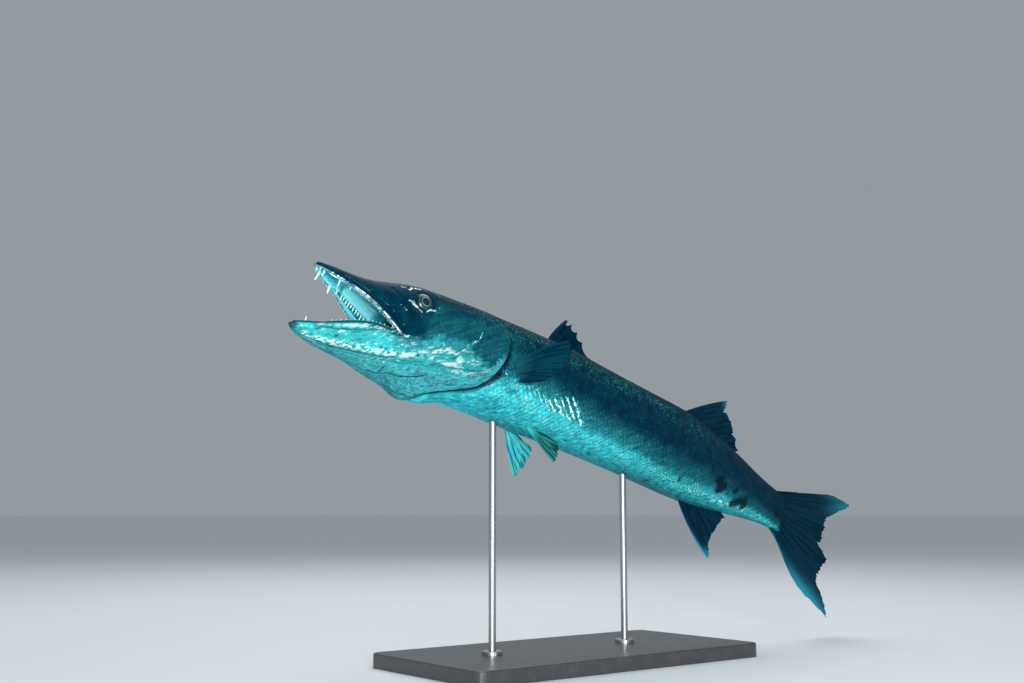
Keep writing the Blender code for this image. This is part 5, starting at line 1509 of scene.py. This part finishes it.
def paired_rays(base, ends, side):
    """Roots sunk in one flank and tips of a pectoral or pelvic fin."""
    shares = np.linspace(0, 1, len(ends))
    x, angle = (base[0][k] + (base[1][k] - base[0][k]) * shares for k in (0, 1))
    roots = outline(x, side * angle) - FIN_SUNK * outward(x, side * angle)
    return [tuple(r) for r in roots], [(e[0], side * e[1], e[2]) for e in ends]


def tail_rays():
    """Roots and tips of the tail fin's rays."""
    x, top, bottom = TAIL_ROOTS
    heights = np.linspace(top, bottom, len(TAIL_RAYS))
    return [(x, 0.0, z) for z in heights], [(e[0], 0.0, e[1]) for e in TAIL_RAYS]


def eye_finish(look):
    """Dark pupil, bright thin rings, dusky iris with fine rays, under a wet cornea."""
    made = Finish("eye", Coat_Weight=0.5, Coat_Roughness=0.04, Roughness=0.3, Specular_IOR_Level=0.3)
    reach = made.marks()[0]
    rays = made.noise(70.0, 5.0, 0.7)
    fibre = made.math("ADD", reach, made.times(made.math("SUBTRACT", rays, 0.5), 0.05))
    base = made.mix(made.steps(made.noise(480.0, 3.0), (0.35, 0), (0.66, 1)), look.iris_dark, look.iris)
    for start, end, strength in ((0.425, 0.465, 0.9), (0.56, 0.58, 0.15), (0.70, 0.73, 0.3)):
        band = made.times(made.steps(fibre, (start - 0.01, 0), (start + 0.01, 1)),
                         made.steps(fibre, (end - 0.01, 1), (end + 0.01, 0)))
        gaps = made.steps(rays, (0.42, 0.25), (0.58, 1))
        base = made.mix(made.times(made.times(band, strength), gaps), base, look.iris_ring)
    base = made.mix(made.steps(reach, (0.76, 0), (0.80, 1)), base, look.dark_marks_and_shade)
    return made.done(made.mix(made.steps(fibre, (0.41, 1), (0.43, 0)), base, look.pupil))


def eye_mesh(side):
    """Flattened ball of the eye with its pole outwards and a raised cornea."""
    middle, out = eye_point(side)
    axis = out + np.array((0, side * 0.8, 0))
    axis /= np.linalg.norm(axis)
    bm = bmesh.new()
    bmesh.ops.create_uvsphere(bm, u_segments=72, v_segments=48, radius=1.0)
    mesh = mesh_from(bm, "eye")
    ball = read_points(mesh)
    frame_of_eye = np.array(Vector(axis).to_track_quat("Z", "Y").to_matrix())
    reach = np.hypot(ball[:, 0], ball[:, 1])
    front = ball[:, 2] > 0
    depth = EYE_DEPTH * np.where(front, 1 + 0.06 * bell(reach, 0.45), 1.0)
    form = ball * np.stack((0 * depth + EYE_RADIUS, 0 * depth + EYE_RADIUS, depth), -1)
    points = (middle - out * EYE_SUNK) + form @ frame_of_eye.T
    return shape(mesh, points, np.where(front, reach, 1.0)[:, None])


def tongue_mesh():
    """Closed tongue on the mouth's floor, with a groove along its middle."""
    mesh, u, v, row = grid(*TONGUE_GRID)
    x = TONGUE[0][0] + (TONGUE[-1][0] - TONGUE[0][0]) * u
    turn = 2 * np.pi * v
    high = curve(x, TONGUE, 2)
    middle = curve(x, FLOOR) + TONGUE_RISE + high
    lump = 1 + 0.06 * noise(np.stack((x, 8 * np.cos(turn), 8 * np.sin(turn)), -1), 3.0, 51)
    groove = 0.8 * bell(np.sin(turn), 0.18) * (np.cos(turn) > 0)
    y = curve(x, TONGUE, 1) * np.sin(turn) * lump
    z = middle + high * np.cos(turn) * lump - groove
    points = np.stack((x, y, z), -1)
    closed = (row == 0) | (row == row.max())
    points[closed, 1] = 0
    points[closed, 2] = middle[closed]
    marks = np.stack((0.2 + 0 * u, np.clip(lump - 0.6, 0, 1), 0 * u), -1)
    return shape(mesh, points, marks)


def steel_finish(look):
    """Brushed steel with fine lines round the rods."""
    made = Finish("brushed_steel", Metallic=1.0)
    lines = made.noise(400.0, 4.0, where=made.place((1, 1, 14)))
    base = made.mix(lines, look.steel, STEEL_LIGHT)
    return made.done(base, made.scaled(lines, 0.18, 0.3), made.bump(lines, 0.05, 0.35))


def board_finish(look):
    """Satin dark lacquer over wood whose grain shows a little, slightly scuffed."""
    made = Finish("lacquered_board", Coat_Weight=0.25, Coat_Roughness=0.3)
    grain = made.noise(26.0, 6.0, 0.65, where=made.place((0.6, 9, 9)))
    dust = made.steps(made.noise(55.0, 5.0), (0.5, 0), (0.8, 1))
    base = made.mix(made.times(grain, 0.7), look.board, look.board_light)
    base = made.mix(made.times(dust, 0.06), base, DUST)
    rough = made.scaled(dust, 0.16, 0.34)
    return made.done(base, rough, made.bump(grain, 0.12, 0.35))


def floor_finish(look):
    """Pale matt floor with a faint cloud."""
    made = Finish("studio_floor", Roughness=0.85, Specular_IOR_Level=0.2)
    cloud = made.noise(1.2, 3.0)
    return made.done(made.mix(made.times(cloud, 0.08), look.floor, FLOOR_CLOUD))


def paint(name, default, description):
    """A colour that a user may change."""
    return FloatVectorProperty(name=name, description=description, default=default, size=3,
                               subtype="COLOR", min=0, max=1)


class BarracudaLook(bpy.types.PropertyGroup):
    """Sizes and colours of the barracuda that a user may change."""

    scale_lift: FloatProperty(name="Scale lift", description="Height of a scale's free edge in mm",
                              default=0.75, min=0.2, max=2.0)
    metal: FloatProperty(name="Silver shine", description="How metallic the silver scales are",
                         default=0.45, min=0.0, max=1.0, subtype="FACTOR")
    light: FloatProperty(name="Light", description="Strength of the studio lights",
                         default=1.0, min=0.1, max=5.0)
    back: paint("Back", (0.0003, 0.020, 0.042), "Dark colour of the back")
    back_light: paint("Back, light", (0.0008, 0.052, 0.080), "Lighter mottling of the back")
    flank: paint("Flank", (0.006, 0.27, 0.35), "Silver side in shade")
    belly: paint("Belly", (0.09, 0.86, 0.92), "Silver side at its lightest")
    # Painted highlights: weaker glints and the brightest glints of the skin and the scale edges.
    gleam: paint("Gleam", (0.10, 0.80, 0.80), "Weaker glints, between the silver and the brightest edges")
    glint: paint("Glint", (0.8, 1.0, 0.95), "Brightest scale edges")
    green: paint("Green", (0.03, 0.29, 0.24), "Green cast of the nape and the jaw")
    throat_skin: paint("Throat skin", (0.08, 0.50, 0.56), "Wrinkled skin of throat and gill membranes")
    # Painted shade in creases, slits, grooves and folds, with the real dark blotches, the rays' joints and
    # the eye's dark ring.
    dark_marks_and_shade: paint("Crease", (0.0005, 0.012, 0.022), "Creases, slits and blotches")
    sheen: paint("Sheen", (0.15, 0.75, 0.9), "Tint of the skin's reflections")
    mouth: paint("Mouth", (0.012, 0.44, 0.56), "Lining of the mouth")
    # Lighter pad, ridges and gums, partly painted highlight.
    mouth_light: paint("Mouth, light", (0.30, 0.96, 1.0), "Ridges and gums")
    # Painted shade in the mouth's folds and troughs.
    mouth_shade: paint("Mouth, dark", (0.002, 0.07, 0.11), "Folds at the back of the mouth")
    # Painted shade deep in the throat.
    throat: paint("Throat", (0.001, 0.015, 0.025), "Depth of the throat")
    tooth: paint("Tooth", (0.7, 0.98, 0.95), "Points of the teeth")
    tooth_root: paint("Tooth root", (0.35, 0.75, 0.72), "Teeth at the gum")
    fin: paint("Fin", (0.0003, 0.009, 0.022), "Membrane of the fins")
    fin_light: paint("Fin, light", (0.0006, 0.020, 0.040), "Clouding of the membrane")
    fin_ray: paint("Fin ray", (0.0012, 0.036, 0.060), "Rays of the fins")
    paired_ray: paint("Pectoral ray", (0.002, 0.050, 0.078), "Rays of the pectoral fins")
    fin_tip: paint("Fin tip", (0.03, 0.36, 0.5), "Pale tips and edges")
    # Membrane of the right pelvic fin, painted lighter as if lit.
    pelvic: paint("Pelvic fin", (0.0015, 0.045, 0.075), "Membrane of the bright pelvic fin")
    pupil: paint("Pupil", (0.0005, 0.01, 0.03), "Pupil")
    iris: paint("Iris", (0.0006, 0.032, 0.038), "Iris")
    iris_dark: paint("Iris, dark", (0.0003, 0.014, 0.020), "Iris mottling")
    iris_ring: paint("Iris ring", (0.25, 0.8, 0.72), "Thin bright rings of the eye")
    steel: paint("Steel", (0.36, 0.37, 0.39), "Rods of the stand")
    board: paint("Board", (0.030, 0.032, 0.036), "Base of the stand")
    board_light: paint("Board, light", (0.055, 0.057, 0.062), "Grain of the base")
    floor: paint("Floor", (0.9, 0.915, 0.93), "Floor of the studio")


class BarracudaOperator:
    """What the operators share."""

    bl_options = {"REGISTER", "UNDO"}

    @property
    def look(self):
        """The sizes and colours chosen."""
        return bpy.context.scene.barracuda_look


class BARRACUDA_OT_skin(BarracudaOperator, bpy.types.Operator):
    """Make the one skin of the fish and the lining of its mouth"""

    bl_idname = "barracuda.skin"
    bl_label = "Skin and mouth"

    def execute(self, context):
        meshes = [jaw_skin(False), jaw_skin(True), body_skin()]
        ridge = Vector(placed(np.array((600.0, 0, 86)))), Vector((0, 0, 1))
        piece("skin", meshes, fish_finish(self.look, "fish_skin", False), FLESH, ridge)
        lining = [jaw_lining(False), jaw_lining(True), throat_lining()]
        roof = Vector(placed(np.array((80.0, 0, 12)))), Vector((0, 0, -1))
        piece("mouth_lining", lining, lining_finish(self.look), (), roof)
        return {"FINISHED"}


class BARRACUDA_OT_scales(BarracudaOperator, bpy.types.Operator):
    """Lay the scales over the skin"""

    bl_idname = "barracuda.scales"
    bl_label = "Scales"

    def execute(self, context):
        template = scale_template()
        material = fish_finish(self.look, "fish_scales", True)
        places = body_places()
        lift = self.look.scale_lift
        for number, (name, start, end) in enumerate(COAT_PIECES):
            inside = places[(places[:, 0] >= start) & (places[:, 0] < end)]
            mesh = scale_mesh("scales_" + name, template, inside, 1.0, lift, FIRST_SEED + number)
            finished("scales_" + name, mesh, material)
        mesh = scale_mesh("scales_head", template, cheek_places(), CHEEK_FINENESS, CHEEK_LIFT, HEAD_SEED)
        finished("scales_head", mesh, material)
        bpy.data.meshes.remove(template)
        return {"FINISHED"}


class BARRACUDA_OT_eyes(BarracudaOperator, bpy.types.Operator):
    """Make both eyes"""

    bl_idname = "barracuda.eyes"
    bl_label = "Eyes"

    def execute(self, context):
        material = eye_finish(self.look)
        for name, side in (("eye_left", -1), ("eye_right", 1)):
            piece(name + "_ball", [eye_mesh(side)], material, (name,))
        return {"FINISHED"}


class BARRACUDA_OT_mouth_parts(BarracudaOperator, bpy.types.Operator):
    """Set the teeth in the jaws and the tongue between them"""

    bl_idname = "barracuda.mouth_parts"
    bl_label = "Teeth and tongue"

    def execute(self, context):
        template = tooth_template()
        form = read_points(template)
        material = tooth_finish(self.look)
        for name, low in (("upper_teeth", False), ("lower_teeth", True)):
            points = np.stack([tooth_points(form, *tooth) for tooth in jaw_teeth(low)])
            mesh = repeated(name, template, points)
            store(mesh, "marks", np.tile(form[:, 2:], (len(points), 1)))
            finished(name, mesh, material)
        bpy.data.meshes.remove(template)
        lining = bpy.data.materials["mouth_lining"]
        piece("tongue_flesh", [tongue_mesh()], lining, ("tongue",))
        return {"FINISHED"}


def fins():
    """Name, CAD nodes, rays, form and kind of membrane of each fin."""
    first, second = middle_rays(FIRST_DORSAL_RAYS, True), middle_rays(SECOND_DORSAL_RAYS, True)
    yield "first_dorsal", ("dorsal_fin_first",), first, FIRST_DORSAL_FORM, "fin"
    yield "second_dorsal", ("dorsal_fin_second",), second, SECOND_DORSAL_FORM, "fin"
    yield "anal", ("anal_fin",), middle_rays(ANAL_RAYS, False), ANAL_FORM, "fin"
    yield "caudal", ("caudal_fin_upper", "caudal_fin_lower"), tail_rays(), TAIL_FORM, "fin"
    for word, side in (("left", -1), ("right", 1)):
        form = {**PAIRED_FORM, "columns": 10, "wave": 1.6, "bow": (-5.6, 2.0 * side, 5.7)}
        rays = paired_rays(PECTORAL_ROOTS, PECTORAL_TIPS, side)
        yield "pectoral_" + word, ("pectoral_fin_" + word,), rays, form, "pectoral"
    for word, side, tips, ragged, bow, pale, kind in PELVICS:
        form = {**PAIRED_FORM, "ragged": ragged, "bow": bow, "pale": (pale,)}
        yield "pelvic_" + word, ("pelvic_fin_" + word,), paired_rays(PELVIC_ROOTS, tips, side), form, kind


class BARRACUDA_OT_fins(BarracudaOperator, bpy.types.Operator):
    """Make the fins with their rays"""

    bl_idname = "barracuda.fins"
    bl_label = "Fins"

    def execute(self, context):
        look = self.look
        materials = {
            "fin": fin_finish(look, "fin_membrane", look.fin, look.fin_ray, 0.30, 0.0),
            "pectoral": fin_finish(look, "pectoral_membrane", look.fin, look.paired_ray, 0.35, 0.08),
            # The right pelvic fin is painted lit, with rays in the glint colour.
            "pelvic": fin_finish(look, "pelvic_membrane", look.pelvic, look.gleam, 0.55, 0.9),
            "pelvic_dark": fin_finish(look, "dark_pelvic_membrane", look.fin, look.green, 0.5, 0.6),
        }
        for number, (name, nodes, (roots, tips), form, kind) in enumerate(fins()):
            mesh = fin_mesh(roots, tips, {**FIN_FORM, **form}, FIN_SEED + 3 * number)
            piece("fin_" + name, [mesh], materials[kind], nodes)
        return {"FINISHED"}


class BARRACUDA_OT_stand(BarracudaOperator, bpy.types.Operator):
    """Finish the display stand"""

    bl_idname = "barracuda.stand"
    bl_label = "Stand"

    def execute(self, context):
        steel, board = steel_finish(self.look), board_finish(self.look)
        for name, material in (("stand_base", board), ("stand_rod_front", steel), ("stand_rod_rear", steel)):
            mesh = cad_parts[name].data
            mesh.materials.clear()
            mesh.materials.append(material)
        return {"FINISHED"}


class BARRACUDA_OT_stage(BarracudaOperator, bpy.types.Operator):
    """Set the floor, the lights and the camera"""

    bl_idname = "barracuda.stage"
    bl_label = "Stage"

    def execute(self, context):
        scene = bpy.context.scene
        scene.view_settings.view_transform = "Standard"
        bm = bmesh.new()
        bmesh.ops.create_circle(bm, cap_ends=True, segments=96, radius=FLOOR_RADIUS)
        mesh = mesh_from(bm, "floor")
        mesh.materials.append(floor_finish(self.look))
        floor = linked("floor", mesh)
        world = bpy.data.worlds.new("studio")
        world.use_nodes = True
        background = world.node_tree.nodes["Background"]
        background.inputs["Color"].default_value = (*SKY, 1)
        background.inputs["Strength"].default_value = SKY_STRENGTH * self.look.light
        scene.world = world
        for name, place, size, power_watts, tint in LIGHTS:
            lamp = bpy.data.lights.new(name, "AREA")
            lamp.size = size
            lamp.energy = power_watts * self.look.light
            lamp.color = tint
            aimed(name, lamp, place, Vector(LIGHT_AIM) - Vector(place))
        camera = bpy.data.cameras.new("camera")
        camera.lens = CAMERA_LENS
        camera.clip_start, camera.clip_end = 0.05, 200
        scene.camera = aimed("camera", camera, CAMERA_PLACE, CAMERA_FORWARD)
        return {"FINISHED"}


class BARRACUDA_PT_panel(bpy.types.Panel):
    """Buttons for each piece of the barracuda"""

    bl_idname = "BARRACUDA_PT_panel"
    bl_label = "Great barracuda"
    bl_space_type = "VIEW_3D"
    bl_region_type = "UI"
    bl_category = "Barracuda"

    def draw(self, context):
        look = context.scene.barracuda_look
        for key in look.bl_rna.properties.keys():
            if key not in ("rna_type", "name"):
                self.layout.prop(look, key)
        for operator in OPERATORS:
            self.layout.operator(operator.bl_idname)


OPERATORS = (BARRACUDA_OT_skin, BARRACUDA_OT_scales, BARRACUDA_OT_eyes, BARRACUDA_OT_mouth_parts,
             BARRACUDA_OT_fins, BARRACUDA_OT_stand, BARRACUDA_OT_stage)
CLASSES = (BarracudaLook, *OPERATORS, BARRACUDA_PT_panel)


def register():
    for made in CLASSES:
        bpy.utils.register_class(made)
    bpy.types.Scene.barracuda_look = PointerProperty(type=BarracudaLook)


def unregister():
    del bpy.types.Scene.barracuda_look
    for made in reversed(CLASSES):
        bpy.utils.unregister_class(made)


def main():
    register()
    bpy.ops.barracuda.skin()
    bpy.ops.barracuda.scales()
    bpy.ops.barracuda.eyes()
    bpy.ops.barracuda.mouth_parts()
    bpy.ops.barracuda.fins()
    bpy.ops.barracuda.stand()
    bpy.ops.barracuda.stage()


if __name__ == "__main__":
    main()
